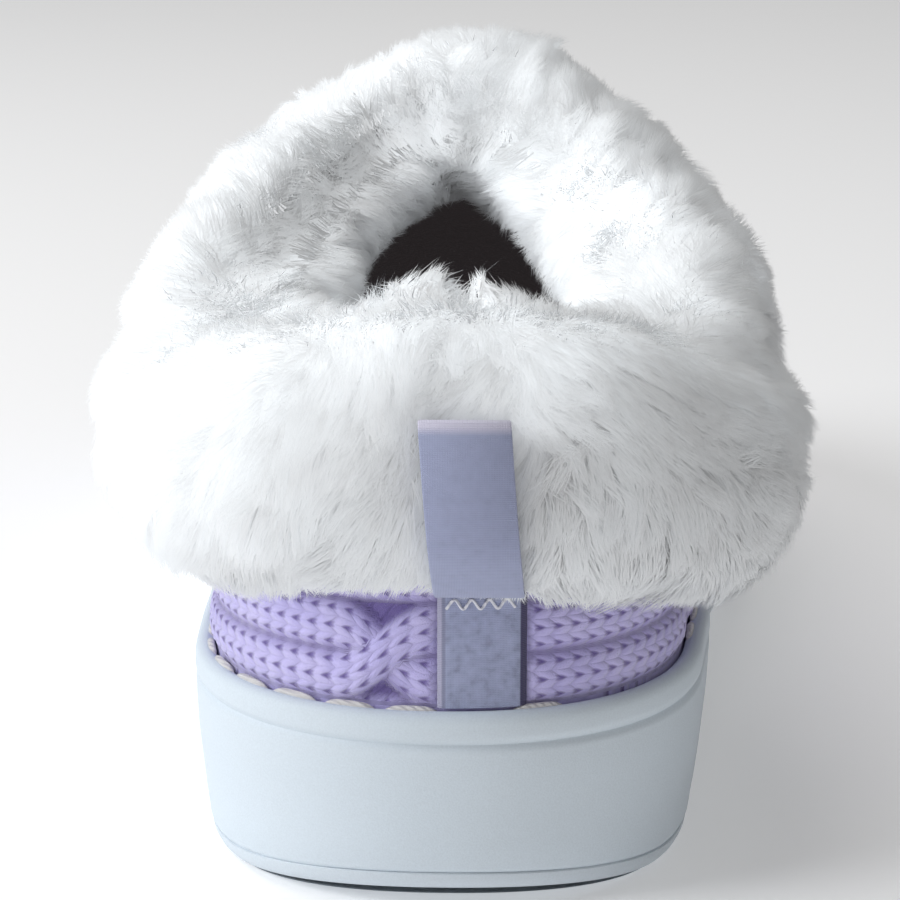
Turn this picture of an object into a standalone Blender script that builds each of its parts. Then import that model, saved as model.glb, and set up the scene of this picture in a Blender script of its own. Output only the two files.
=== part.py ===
"""A right slip-on slipper: foam cup sole, knitted upper and deep fur collar.

Metres, +Z up. The origin is on the floor under the middle of the heel. The toe
points along +Y and the outer side of the foot is at +X.
"""
import math

import bmesh
import bpy
import numpy as np

# Driving sizes of the sole
SOLE_LENGTH = 0.262
HEEL_WIDTH = 0.079
BALL_WIDTH = 0.101
RIM_HEIGHT = 0.032
HEEL_BEVEL = 0.0032
ARCH_LIFT = 0.002
TOE_SPRING = 0.010
OUTSOLE_THICKNESS = 0.0032
TREAD_CHAMFER = 0.0022
LUG_PITCH = 0.0135
LUG_GROOVE = 0.0042
LUG_DEPTH = 0.0018
LUG_MARGIN = 0.008
LUG_BEND = 0.0034
RIM_WIDTH = 0.0030
RIM_ROLL = 0.0016
RIM_GROOVE_DROP = 0.0042
RIM_GROOVE_WIDTH = 0.0012
RIM_GROOVE_DEPTH = 0.0007
WALL_TAPER = 0.0018
WALL_FLARE_HEIGHT = 0.010
FOAM_CHAMFER = 0.0010
OUTSOLE_STEP = 0.0007
CUP_DEPTH = 0.012
INSOLE_THICKNESS = 0.0055
INSOLE_ROUNDING = 0.002
INSOLE_DISH = 0.012

# Driving sizes of the upper
KNIT_WALL = 0.0025
HEEL_COUNTER_HEIGHT = 0.082
INSTEP_HEIGHT = 0.102
TOE_BOX_HEIGHT = 0.030
THROAT_DISTANCE = 0.098
COLLAR_WIDTH = 0.064
COLLAR_BACK_LEAN = 0.0012

# Driving sizes of the fur cuff
PILE_OUTSIDE = 0.0150
PILE_INSIDE = 0.0125
PILE_CREST = 0.0140
CUFF_DROP = 0.030
CUFF_SAG = 0.44
LOCK_LENGTH = 0.014
LOCK_RADIUS = 0.0062
LOCK_RAISE = 0.0022

# Driving sizes of the ribbon pieces
RIBBON_WIDTH = 0.0127
STAY_THICKNESS = 0.0008
LOOP_THICKNESS = 0.0008
LOOP_HOLLOW = 0.0010
LOOP_LENGTH = 0.0366
LOOP_SEAM = 0.0008
LOOP_CLEARANCE = 0.0018
LOOP_LEAN = 0.075
RIBBON_OFFSET = 0.0055

# Clearance between pieces that meet, and how finely the loops are divided
GAP = 0.0003
SLOT_GAP = 0.0005
COLUMNS = 60
UPPER_ROWS = 10
SLOT_STEPS = 4
LOOP_STEPS = 9
RELAX_INSIDE = 5

# Plan of the sole: share of the length, centre line and half width in local widths
SOLE_PLAN = (
    # share, middle, half
    (0.00, 0.000, 0.500),
    (0.13, 0.000, 0.500),
    (0.22, 0.012, 0.516),
    (0.30, 0.012, 0.506),
    (0.42, 0.022, 0.474),
    (0.54, 0.036, 0.474),
    (0.64, 0.020, 0.490),
    (0.72, 0.004, 0.500),
    (0.82, -0.020, 0.488),
    (0.92, -0.045, 0.450),
    (1.00, -0.060, 0.420),
)
HEEL_CAP_SHARE = 0.15
TOE_CAP_SHARE = 0.26
HEEL_CAP_POWER = 2.15
TOE_CAP_POWER = 2.25
WIDENING_START = 0.22
WIDENING_END = 0.62

# Side view of the sole: height of the rim as a share of its height at the heel
SOLE_SIDE = (
    # share, rim
    (0.00, 1.00),
    (0.20, 0.975),
    (0.45, 0.90),
    (0.70, 0.85),
    (0.86, 0.87),
    (1.00, 0.93),
)
BEVEL_SHARE = 0.09
ARCH_START = 0.38
ARCH_END = 0.58
SPRING_START = 0.74
BEVEL_POWER = 1.6
SPRING_POWER = 1.9

# Foam wall from foot to cup floor: where the height is counted from, height, inset
MIDSOLE_WALL = (
    ("foot", 0.0, WALL_TAPER + FOAM_CHAMFER),
    ("foot", FOAM_CHAMFER, WALL_TAPER),
    ("foot", WALL_FLARE_HEIGHT, WALL_TAPER * 0.45),
    ("rim", -RIM_GROOVE_DROP - RIM_GROOVE_WIDTH, 0.0),
    ("rim", -RIM_GROOVE_DROP - RIM_GROOVE_WIDTH * 0.6, RIM_GROOVE_DEPTH),
    ("rim", -RIM_GROOVE_DROP, 0.0),
    ("rim", -RIM_ROLL * 0.9, 0.0),
    ("rim", -RIM_ROLL * 0.2, RIM_ROLL * 0.4),
    ("rim", 0.0, RIM_ROLL),
    ("rim", -RIM_ROLL * 0.4, RIM_WIDTH),
    ("rim", -CUP_DEPTH, RIM_WIDTH),
)

# Plan of the collar: powers of its sine and cosine, and how far the throat draws in
COLLAR_SIDE_POWER = 0.80
COLLAR_END_POWER = 0.94
THROAT_NARROWING = 0.20
THROAT_START = 0.35

# Collar edge of the upper: turn about the opening from the heel (0) to the throat (1)
COLLAR_EDGE = (
    # turn, height: 0 at the heel counter and 1 at the instep
    (0.00, 0.00),
    (0.20, -0.10),
    (0.40, -0.08),
    (0.60, 0.22),
    (0.80, 0.72),
    (1.00, 1.00),
)

# Profile of the upper from the rim to the collar, by turn: upright handle in shares of
# the rise, and handle that leaves the collar, in shares of the way from rim to collar
UPPER_FULLNESS = (
    # turn, upright, outward
    (0.00, 0.40, 0.10),
    (0.30, 0.45, 0.15),
    (0.50, 0.55, 0.30),
    (0.70, 0.50, 0.42),
    (1.00, 0.42, 0.50),
)
TOE_BOX_START = 0.6
COLLAR_HANDLE_SLOPE = 0.62

# Turn at which the cuff comes down furthest
CUFF_SAG_TURN = 0.33

# Section of the cuff, outside hem to inside hem: along the wall in shares of the drop
# (down) or the crest (up), and out from the wall in shares of the pile
CUFF_SECTION = (
    # along, out, locks raised in the surface
    (-1.03, 0.20, 0.0),
    (-0.95, 0.58, 1.0),
    (-0.76, 0.92, 1.0),
    (-0.50, 1.05, 1.0),
    (-0.20, 1.02, 1.0),
    (0.30, 0.84, 1.0),
    (0.85, 0.46, 0.6),
    (0.80, 0.02, 0.0),
    (0.97, -0.40, 0.5),
    (0.45, -0.88, 0.8),
    (-0.15, -1.00, 0.8),
    (-0.60, -0.86, 0.6),
    (-0.96, -0.45, 0.0),
)

# Depth of the pile round the collar, in shares of the pile: sides and throat are fuller
CUFF_FULLNESS = (
    # turn, outside, crest, inside
    (0.00, 1.00, 1.00, 1.00),
    (0.14, 1.30, 1.00, 1.00),
    (0.28, 1.42, 0.95, 1.05),
    (0.45, 1.18, 0.95, 1.10),
    (0.70, 0.92, 1.05, 1.00),
    (1.00, 0.95, 1.15, 0.80),
)

# Locks fused on the cuff: row along the wall, depth of the root, count round the
# collar, way that the tips point (down or up the wall) and size
LOCK_ROWS = (
    # along, out, count, droop, size
    (-0.80, 0.80, 19, 1.0, 0.90),
    (-0.30, 0.96, 17, 1.0, 1.00),
    (0.40, 0.70, 15, -1.0, 0.75),
)

# One lock from its root to its tip, in shares of its length and radius
LOCK_STATIONS = (
    # out of the pile, along the wall, width
    (-0.45, -0.22, 0.80),
    (-0.02, 0.05, 1.05),
    (0.20, 0.42, 0.85),
    (0.33, 0.86, 0.0),
)


def smooth(share):
    """Smoothstep of a share that is first limited to 0..1."""
    share = min(max(share, 0.0), 1.0)
    return share * share * (3.0 - 2.0 * share)


def read(table, share, column):
    """Value of a table's column at a share, on a smooth curve through the rows."""
    rows = [row[0] for row in table]
    values = [row[column] for row in table]
    last = len(rows) - 2
    i = min(max(sum(1 for start in rows if start <= share) - 1, 0), last)
    width = rows[i + 1] - rows[i]
    t = min(max((share - rows[i]) / width, 0.0), 1.0)

    def slope(j):
        low, high = max(j - 1, 0), min(j + 1, len(rows) - 1)
        return (values[high] - values[low]) / (rows[high] - rows[low]) * width

    square, cube = t * t, t * t * t
    return ((2 * cube - 3 * square + 1) * values[i] + (cube - 2 * square + t) * slope(i)
            + (3 * square - 2 * cube) * values[i + 1] + (cube - square) * slope(i + 1))


def length_y(share):
    """Distance along the shoe: the origin lies under the middle of the heel."""
    return share * SOLE_LENGTH - HEEL_WIDTH / 2


def local_width(share):
    widening = (share - WIDENING_START) / (WIDENING_END - WIDENING_START)
    return HEEL_WIDTH + (BALL_WIDTH - HEEL_WIDTH) * smooth(widening)


def cap(share, cap_share, power):
    """Rounding of an end: 0 at its tip and 1 where the end meets the sides."""
    if share >= cap_share:
        return 1.0
    return (1.0 - (1.0 - share / cap_share) ** power) ** (1.0 / power)


def column_share(column):
    """Share of the length at a column: 0 at the heel, 1 at the toe, and back again."""
    return (1.0 - math.cos(2.0 * math.pi * column / COLUMNS)) / 2.0


def sole_loop():
    """Outline of the sole and its outward normals, a point for each column."""
    points = []
    for column in range(COLUMNS):
        share = column_share(column)
        side = 1.0 if column <= COLUMNS / 2 else -1.0
        ends = cap(share, HEEL_CAP_SHARE, HEEL_CAP_POWER)
        ends *= cap(1.0 - share, TOE_CAP_SHARE, TOE_CAP_POWER)
        width = local_width(share)
        x = width * (read(SOLE_PLAN, share, 1) + side * ends * read(SOLE_PLAN, share, 2))
        points.append((x, length_y(share)))
    points = np.array(points)
    along = np.roll(points, -1, axis=0) - np.roll(points, 1, axis=0)
    normals = np.stack([along[:, 1], -along[:, 0]], axis=1)
    normals /= np.linalg.norm(normals, axis=1)[:, None]
    return points, normals


def ground(share):
    """Underside of the sole: flat under heel and ball, lifted at heel, arch and toe."""
    if share < BEVEL_SHARE:
        return HEEL_BEVEL * (1.0 - share / BEVEL_SHARE) ** BEVEL_POWER
    if ARCH_START < share < ARCH_END:
        turn = (share - ARCH_START) / (ARCH_END - ARCH_START)
        return ARCH_LIFT * math.sin(math.pi * turn) ** 2
    if share > SPRING_START:
        return TOE_SPRING * ((share - SPRING_START) / (1.0 - SPRING_START)) ** SPRING_POWER
    return 0.0


def rim(share):
    return RIM_HEIGHT * read(SOLE_SIDE, share, 1)


def midsole_foot(share):
    return ground(share) + OUTSOLE_THICKNESS + GAP


def cup_floor(share):
    return rim(share) - CUP_DEPTH


def ring(inset, height):
    """Loop inside the sole's outline, with its height from the share of the length."""
    points, normals = sole_loop()
    flat = points - normals * inset
    return [(x, y, height(column_share(i))) for i, (x, y) in enumerate(flat)]


def new_object(name, mesh, collection, material):
    obj = bpy.data.objects.new(name, mesh)
    collection.objects.link(obj)
    if material:
        mesh.materials.append(material)
    return obj


def stack_mesh(name, rings, ends):
    """Skin a stack of loops. The ends are closed across, or the last meets the first."""
    mesh = bmesh.new()
    loops = [[mesh.verts.new(point) for point in loop] for loop in rings]
    count = len(loops[0])
    pairs = list(zip(loops, loops[1:]))
    if ends == "joined":
        pairs.append((loops[-1], loops[0]))
    for low, high in pairs:
        for i in range(count):
            j = (i + 1) % count
            mesh.faces.new((low[i], low[j], high[j], high[i]))
    if ends == "closed":
        for loop, face_up in ((loops[0], False), (loops[-1], True)):
            close_across(mesh, loop, face_up)
    bmesh.ops.recalc_face_normals(mesh, faces=mesh.faces)
    data = bpy.data.meshes.new(name)
    mesh.to_mesh(data)
    mesh.free()
    return data


def close_across(mesh, loop, face_up):
    """Close a loop with strips from side to side, which keeps its bend along the shoe."""
    count = len(loop)
    for i in range(count // 2):
        corners = [loop[i], loop[i + 1], loop[(count - i - 1) % count], loop[(count - i) % count]]
        face = list(dict.fromkeys(corners))
        mesh.faces.new(face if face_up else face[::-1])


def finish_smooth(obj, angle):
    obj.data.shade_smooth()
    obj.data.set_sharp_from_angle(angle=math.radians(angle))


def triangulate(data):
    mesh = bmesh.new()
    mesh.from_mesh(data)
    bmesh.ops.triangulate(mesh, faces=mesh.faces)
    mesh.to_mesh(data)
    mesh.free()


def apply_boolean(obj, other, operation, solver):
    """Join or cut with another object's closed mesh and keep the result as a mesh."""
    triangulate(obj.data)
    triangulate(other.data)
    modifier = obj.modifiers.new("Join", "BOOLEAN")
    modifier.operation = operation
    modifier.solver = solver
    modifier.object = other
    bpy.context.view_layer.update()
    evaluated = obj.evaluated_get(bpy.context.evaluated_depsgraph_get())
    result = bpy.data.meshes.new_from_object(evaluated)
    obj.modifiers.remove(modifier)
    old = obj.data
    obj.data = result
    result.name = old.name
    bpy.data.meshes.remove(old)


def keep_largest(obj):
    """Drop the small pockets that a union leaves sealed between locks and pile."""
    mesh = bmesh.new()
    mesh.from_mesh(obj.data)
    left = set(mesh.verts)
    groups = []
    while left:
        stack, group = [left.pop()], []
        while stack:
            vert = stack.pop()
            group.append(vert)
            for edge in vert.link_edges:
                other = edge.other_vert(vert)
                if other in left:
                    left.discard(other)
                    stack.append(other)
        groups.append(group)
    groups.sort(key=len)
    for group in groups[:-1]:
        bmesh.ops.delete(mesh, geom=group, context="VERTS")
    mesh.to_mesh(obj.data)
    mesh.free()


def make_outsole(parts, cutters, material):
    """Thin tread layer with closed grooves across it that leave wide lugs."""
    foot = WALL_TAPER + OUTSOLE_STEP
    rings = [
        ring(foot + TREAD_CHAMFER, ground),
        ring(foot + TREAD_CHAMFER * 0.3, lambda share: ground(share) + OUTSOLE_THICKNESS * 0.4),
        ring(foot, lambda share: ground(share) + OUTSOLE_THICKNESS),
    ]
    outsole = new_object("outsole", stack_mesh("outsole", rings, "closed"), parts, material)
    grooves = bmesh.new()
    first = int(length_y(0.0) / LUG_PITCH)
    for index in range(first, int(length_y(1.0) / LUG_PITCH)):
        y = (index + 0.5) * LUG_PITCH
        share = (y - length_y(0.0)) / SOLE_LENGTH
        step = LUG_PITCH / SOLE_LENGTH
        if not step < share < 1.0 - step:
            continue
        add_groove(grooves, y, share)
    data = bpy.data.meshes.new("lug_grooves")
    grooves.to_mesh(data)
    grooves.free()
    cutter = new_object("lug_grooves", data, cutters, None)
    cutter.hide_render = True
    cutter.display_type = "WIRE"
    apply_boolean(outsole, cutter, "DIFFERENCE", "EXACT")
    finish_smooth(outsole, 35)
    return outsole


def side_reach(y, inset):
    """Inner and outer x of the outline at a place along the shoe, drawn in by an inset."""
    points, _ = sole_loop()
    half = COLUMNS // 2 + 1
    outer, inner = points[:half], np.roll(points[::-1], 1, axis=0)[:half]
    left = np.interp(y, inner[:, 1], inner[:, 0]) + inset
    right = np.interp(y, outer[:, 1], outer[:, 0]) - inset
    return left, right


def add_groove(mesh, y, share):
    """One groove: a bar with a shallow bend, deep enough to part two lugs."""
    left, right = side_reach(y, LUG_MARGIN)
    if right - left < LUG_PITCH:
        return
    slope = (ground(share + 0.01) - ground(share - 0.01)) / (0.02 * SOLE_LENGTH)
    stations = [left, (left + right) / 2, right]
    offsets = [-LUG_BEND / 2, LUG_BEND / 2, -LUG_BEND / 2]
    corners = []
    for x, offset in zip(stations, offsets):
        for side in (-0.5, 0.5):
            for low in (True, False):
                along = offset + side * LUG_GROOVE
                z = ground(share) + slope * along
                z += -LUG_DEPTH if low else LUG_DEPTH
                corners.append(mesh.verts.new((x, y + along, z)))
    for start in (0, 4):
        a, b = corners[start:start + 4], corners[start + 4:start + 8]
        mesh.faces.new((a[0], b[0], b[1], a[1]))
        mesh.faces.new((a[2], a[3], b[3], b[2]))
        mesh.faces.new((a[0], a[2], b[2], b[0]))
        mesh.faces.new((a[1], b[1], b[3], a[3]))
    mesh.faces.new((corners[0], corners[1], corners[3], corners[2]))
    mesh.faces.new((corners[8], corners[10], corners[11], corners[9]))
    bmesh.ops.recalc_face_normals(mesh, faces=mesh.faces)


def make_midsole(parts, material):
    """Foam cup: near upright wall, groove under the rounded rim, hollow for the foot."""
    def level(start, height):
        if start == "foot":
            return lambda share: midsole_foot(share) + height
        return lambda share: rim(share) + height

    rings = [ring(inset, level(start, height)) for start, height, inset in MIDSOLE_WALL]
    obj = new_object("midsole", stack_mesh("midsole", rings, "closed"), parts, material)
    finish_smooth(obj, 32)
    return obj


def make_insole(parts, material):
    """Padded footbed that fills the upper's foot, a little dished along its middle."""
    edge = RIM_WIDTH + GAP + KNIT_WALL + GAP

    def level(height):
        return lambda share: cup_floor(share) + GAP + height

    rings = [
        ring(edge, level(0.0)),
        ring(edge, level(INSOLE_THICKNESS * 0.8)),
        ring(edge + INSOLE_ROUNDING, level(INSOLE_THICKNESS)),
        ring(edge + INSOLE_DISH, level(INSOLE_THICKNESS * 0.85)),
    ]
    obj = new_object("insole", stack_mesh("insole", rings, "closed"), parts, material)
    finish_smooth(obj, 40)
    return obj


def column_turn(column):
    """Turn from the heel (0) to the throat or toe (1), the same on both sides."""
    return 1.0 - abs(1.0 - 2.0 * column / COLUMNS)


def signed_power(value, power):
    return math.copysign(abs(value) ** power, value)


def collar_point(column):
    """Edge of the upper's opening at a column."""
    angle = 2.0 * math.pi * column / COLUMNS
    turn = column_turn(column)
    back = length_y(0.0) + RIM_WIDTH + GAP + COLLAR_BACK_LEAN
    front = length_y(0.0) + THROAT_DISTANCE
    middle, reach = (back + front) / 2, (front - back) / 2
    narrowing = 1.0 - THROAT_NARROWING * smooth((turn - THROAT_START) / (1.0 - THROAT_START))
    x = signed_power(math.sin(angle), COLLAR_SIDE_POWER) * COLLAR_WIDTH / 2 * narrowing
    y = middle - reach * signed_power(math.cos(angle), COLLAR_END_POWER)
    rise = INSTEP_HEIGHT - HEEL_COUNTER_HEIGHT
    return np.array((x, y, HEEL_COUNTER_HEIGHT + rise * read(COLLAR_EDGE, turn, 1)))


def upper_grid():
    """Outer face of the upper: columns round the shoe, rows from cup floor to collar."""
    inset = RIM_WIDTH + GAP
    floor = ring(inset, lambda share: cup_floor(share) + GAP)
    edge = ring(inset, rim)
    grid = []
    for column in range(COLUMNS):
        turn = column_turn(column)
        low, high = np.array(edge[column]), collar_point(column)
        rise = high[2] - low[2]
        upright = read(UPPER_FULLNESS, turn, 1) * rise
        toe = smooth((turn - TOE_BOX_START) / (1.0 - TOE_BOX_START))
        upright += (TOE_BOX_HEIGHT - upright) * toe
        outward = high - low
        outward[2] *= COLLAR_HANDLE_SLOPE
        leave = high - outward * read(UPPER_FULLNESS, turn, 2)
        lift = low + np.array((0.0, 0.0, upright))
        rows = [np.array(floor[column])]
        for row in range(UPPER_ROWS + 1):
            t = row / UPPER_ROWS
            rows.append((1 - t) ** 3 * low + 3 * (1 - t) ** 2 * t * lift
                        + 3 * (1 - t) * t * t * leave + t ** 3 * high)
        grid.append(rows)
    return np.array(grid)


def grid_normals(grid):
    """Outward normals and up-the-wall directions at each point of a grid."""
    around = np.roll(grid, -1, axis=0) - np.roll(grid, 1, axis=0)
    up = np.gradient(grid, axis=1)
    up[:, 0] = grid[:, 1] - grid[:, 0]
    normals = np.cross(around, up)
    normals /= np.linalg.norm(normals, axis=2)[:, :, None]
    normals[:, 0, 2] = 0.0
    normals[:, 0] /= np.linalg.norm(normals[:, 0], axis=1)[:, None]
    normals[:, 1] = normals[:, 0]
    up /= np.linalg.norm(up, axis=2)[:, :, None]
    return normals, up


def make_upper(parts, material, grid, normals):
    """Hollow knitted shell, open at the collar and underneath."""
    inner = grid - normals * KNIT_WALL
    rows = grid.shape[1]
    rings = [[tuple(point) for point in grid[:, row]] for row in range(rows)]
    rings += [[tuple(point) for point in inner[:, row]] for row in reversed(range(rows))]
    obj = new_object("upper", stack_mesh("upper", rings, "joined"), parts, material)
    finish_smooth(obj, 50)
    return obj


def down_wall(grid, directions, column, distance):
    """Point on a column at a distance down from the collar, and its normal."""
    wall = grid[column][::-1]
    steps = np.linalg.norm(np.diff(wall, axis=0), axis=1)
    reached = np.concatenate([[0.0], np.cumsum(steps)])
    point = np.array([np.interp(distance, reached, wall[:, axis]) for axis in range(3)])
    facing = directions[column][::-1]
    normal = np.array([np.interp(distance, reached, facing[:, axis]) for axis in range(3)])
    return point, normal / np.linalg.norm(normal)


def cuff_drop(column):
    """How far the cuff comes down outside: less over the throat than at the sides."""
    sagging = min(column_turn(column) / (2.0 * CUFF_SAG_TURN), 1.0)
    return CUFF_DROP * (1.0 + CUFF_SAG * math.sin(math.pi * sagging) ** 2)


def cuff_reach(column, along):
    """Distance along the wall, up in shares of the crest and down in shares of the drop."""
    if along > 0:
        return along * PILE_CREST * read(CUFF_FULLNESS, column_turn(column), 2)
    return along * cuff_drop(column)


def cuff_depth(column, out):
    """Depth of the pile off the knit's face, on the outside (+) or inside (-)."""
    turn = column_turn(column)
    if out >= 0:
        return SLOT_GAP + PILE_OUTSIDE * out * read(CUFF_FULLNESS, turn, 1)
    return -KNIT_WALL - SLOT_GAP + PILE_INSIDE * out * read(CUFF_FULLNESS, turn, 3)


def cuff_point(grid, normals, ups, column, along, out):
    """Place in a column's section of the cuff, out counted from the knit's faces."""
    if along > 0:
        point = grid[column, -1] + ups[column, -1] * along
        normal = normals[column, -1]
    else:
        point, normal = down_wall(grid, normals, column, -along)
    return point + normal * out


def lock_raise(column, row):
    """Pattern of locks raised in the pile: pointed groups that alternate by row."""
    wave = math.sin(column * 2.1 + row * 1.9) * math.cos(column * 1.3 - row * 2.7)
    step = 1.0 if (column + row) % 2 else -0.2
    return step * (0.75 + 0.25 * wave)


def near_ribbon(x, y):
    reach = RIBBON_WIDTH / 2 + LOCK_RADIUS * 2
    return y < length_y(0.2) and abs(x - RIBBON_OFFSET) < reach


def relaxed(loop, times):
    """Even out a loop where its columns crowd together, as inside the throat."""
    points = np.array(loop)
    for _ in range(times):
        points = (np.roll(points, 1, axis=0) + points * 2 + np.roll(points, -1, axis=0)) / 4
    return [tuple(point) for point in points]


def cuff_rings(grid, normals, ups):
    """Loops of the cuff from the outside hem over the crest and back up its slot."""
    rings = []
    for row, (along, out, raised) in enumerate(CUFF_SECTION):
        loop = []
        for column in range(COLUMNS):
            reach = cuff_reach(column, along)
            depth = cuff_depth(column, out)
            place = cuff_point(grid, normals, ups, column, reach, depth)
            if not near_ribbon(place[0], place[1]):
                lift = LOCK_RAISE * raised * lock_raise(column, row)
                depth += lift if out > 0 else -lift
                place = cuff_point(grid, normals, ups, column, reach, depth)
            loop.append(tuple(place))
        rings.append(relaxed(loop, RELAX_INSIDE) if out < 0 else loop)
    climb = [step / SLOT_STEPS - 1.0 for step in range(SLOT_STEPS + 1)]
    slot = [(along, -KNIT_WALL - SLOT_GAP) for along in climb]
    slot += [(along, SLOT_GAP) for along in reversed(climb)]
    for along, out in slot:
        loop = []
        for column in range(COLUMNS):
            reach = along * cuff_drop(column) if along else SLOT_GAP
            loop.append(tuple(cuff_point(grid, normals, ups, column, reach, out)))
        rings.append(loop)
    return rings


def lock_object(cutters, base, outward, droop_to, size):
    """One lock: a pointed tuft of four sides that leaves the pile and bends over."""
    mesh = bmesh.new()
    length, radius = LOCK_LENGTH * size, LOCK_RADIUS * size
    side = np.cross(outward, droop_to)
    side /= np.linalg.norm(side)
    loops = []
    for out, droop, width in LOCK_STATIONS:
        centre = base + outward * out * length + droop_to * droop * length
        if width == 0.0:
            loops.append([mesh.verts.new(centre)])
            continue
        across = side * radius * width
        thick = np.cross(side, outward) * radius * width * 0.8
        corners = (centre + across, centre + thick, centre - across, centre - thick)
        loops.append([mesh.verts.new(corner) for corner in corners])
    mesh.faces.new(loops[0])
    for low, high in zip(loops, loops[1:]):
        for i in range(4):
            j = (i + 1) % 4
            if len(high) == 1:
                mesh.faces.new((low[i], low[j], high[0]))
            else:
                mesh.faces.new((low[i], low[j], high[j], high[i]))
    bmesh.ops.recalc_face_normals(mesh, faces=mesh.faces)
    data = bpy.data.meshes.new("fur_lock")
    mesh.to_mesh(data)
    mesh.free()
    return new_object("fur_lock", data, cutters, None)


def make_fur_collar(parts, cutters, material, grid, normals, ups):
    """Deep cuff that straddles the collar edge, with pointed locks fused on."""
    mesh = stack_mesh("fur_collar", cuff_rings(grid, normals, ups), "joined")
    collar = new_object("fur_collar", mesh, parts, material)
    for row, (along, root, count, droop, size) in enumerate(LOCK_ROWS):
        for index in range(count):
            turn = (index + 0.5 * (row % 2) + 0.12 * math.sin(index * 2.3 + row)) / count
            column = int(round(turn * COLUMNS)) % COLUMNS
            reach = cuff_reach(column, along)
            base = cuff_point(grid, normals, ups, column, reach, cuff_depth(column, root))
            if near_ribbon(base[0], base[1]):
                continue
            _, normal = down_wall(grid, normals, column, max(-reach, 0.0))
            up = ups[column, -1]
            lock = lock_object(cutters, base, normal, -up * droop, size)
            apply_boolean(collar, lock, "UNION", "MANIFOLD")
            bpy.data.objects.remove(lock, do_unlink=True)
    keep_largest(collar)
    finish_smooth(collar, 60)
    return collar


def ribbon_columns():
    """Columns, whole and part, across the ribbon at the back of the heel."""
    points, _ = sole_loop()
    reach = COLUMNS // 6
    order = list(range(-reach, reach + 1))
    xs = [points[i % COLUMNS][0] for i in order]
    left, right = RIBBON_OFFSET - RIBBON_WIDTH / 2, RIBBON_OFFSET + RIBBON_WIDTH / 2
    edges = [float(np.interp(x, xs, order)) for x in (left, right)]
    inside = [i for i in order if edges[0] + 0.15 < i < edges[1] - 0.15]
    return [edges[0]] + [float(i) for i in inside] + [edges[1]]


def between(grid, column, height, axis_values):
    """Value on the facets of a grid at a part column and a height."""
    low = math.floor(column)
    part = column - low
    ends = []
    for i in (low % COLUMNS, (low + 1) % COLUMNS):
        wall = grid[i]
        ends.append([np.interp(height, wall[:, 2], axis_values[i][:, axis]) for axis in range(3)])
    return np.array(ends[0]) * (1 - part) + np.array(ends[1]) * part


def make_heel_stay(parts, material, grid, normals, top):
    """Strip over the back seam, on the knit, from the rim to the foot of the loop."""
    columns = ribbon_columns()
    low = rim(0.0) + GAP
    backs = [grid[0, row, 2] for row in range(grid.shape[1])]
    heights = [low] + [z for z in backs if low + 0.001 < z < top - 0.001] + [top]
    rings = []
    for z in heights:
        faces = []
        for out in (GAP * 1.5, GAP * 1.5 + STAY_THICKNESS):
            line = []
            for column in columns:
                normal = between(grid, column, z, normals)
                line.append(between(grid, column, z, grid) + normal * out)
            faces.append(line)
        rings.append([tuple(p) for p in faces[0]] + [tuple(p) for p in reversed(faces[1])])
    mesh = bmesh.new()
    loops = [[mesh.verts.new(point) for point in loop] for loop in rings]
    for first, second in zip(loops, loops[1:]):
        for i in range(len(first)):
            j = (i + 1) % len(first)
            mesh.faces.new((first[i], first[j], second[j], second[i]))
    half = len(columns)
    for loop in (loops[0], loops[-1]):
        for i in range(half - 1):
            mesh.faces.new((loop[i], loop[i + 1], loop[-i - 2], loop[-i - 1]))
    bmesh.ops.recalc_face_normals(mesh, faces=mesh.faces)
    data = bpy.data.meshes.new("heel_stay")
    mesh.to_mesh(data)
    mesh.free()
    return new_object("heel_stay", data, parts, material)


def loop_path(grid, normals, ups, foot):
    """Path of the ribbon in side view: up the outside of the fur, over and back."""
    skin = []
    for along, out, _ in CUFF_SECTION[:7]:
        reach = cuff_reach(0, along)
        point = cuff_point(grid, normals, ups, 0, reach, cuff_depth(0, out))
        skin.append((point[1], point[2]))
    back = between(grid, 0.0, foot, grid)[1]
    stay_face = back - GAP * 2.5 - STAY_THICKNESS
    outline = np.array([(stay_face, foot - LOOP_SEAM), (stay_face, foot)] + skin)
    steps = np.linalg.norm(np.diff(outline, axis=0), axis=1)
    reached = np.concatenate([[0.0], np.cumsum(steps)])
    inner = []
    for i in range(LOOP_STEPS):
        s = LOOP_LENGTH * i / (LOOP_STEPS - 1)
        y = np.interp(s, reached, outline[:, 0])
        z = np.interp(s, reached, outline[:, 1])
        inner.append((y, z))
    inner = np.array(inner)
    tangents = np.gradient(inner, axis=0)
    tangents /= np.linalg.norm(tangents, axis=1)[:, None]
    outward = np.stack([-tangents[:, 1], tangents[:, 0]], axis=1)
    near = np.full(LOOP_STEPS, LOOP_THICKNESS / 2 + LOOP_CLEARANCE)
    near[0] = LOOP_THICKNESS / 2 + GAP
    hollow = np.full(LOOP_STEPS, LOOP_HOLLOW)
    hollow[:2] = GAP
    far = near + LOOP_THICKNESS + hollow
    inside = inner + outward * near[:, None]
    outside = inner + outward * far[:, None]
    fold = []
    centre = (inside[-1] + outside[-1]) / 2
    radius = np.linalg.norm(outside[-1] - inside[-1]) / 2
    for angle in (45, 90, 135):
        turn = math.radians(angle)
        fold.append(centre - outward[-1] * radius * math.cos(turn)
                    + tangents[-1] * radius * math.sin(turn))
    return np.vstack([inside, fold, outside[::-1]])


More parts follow.
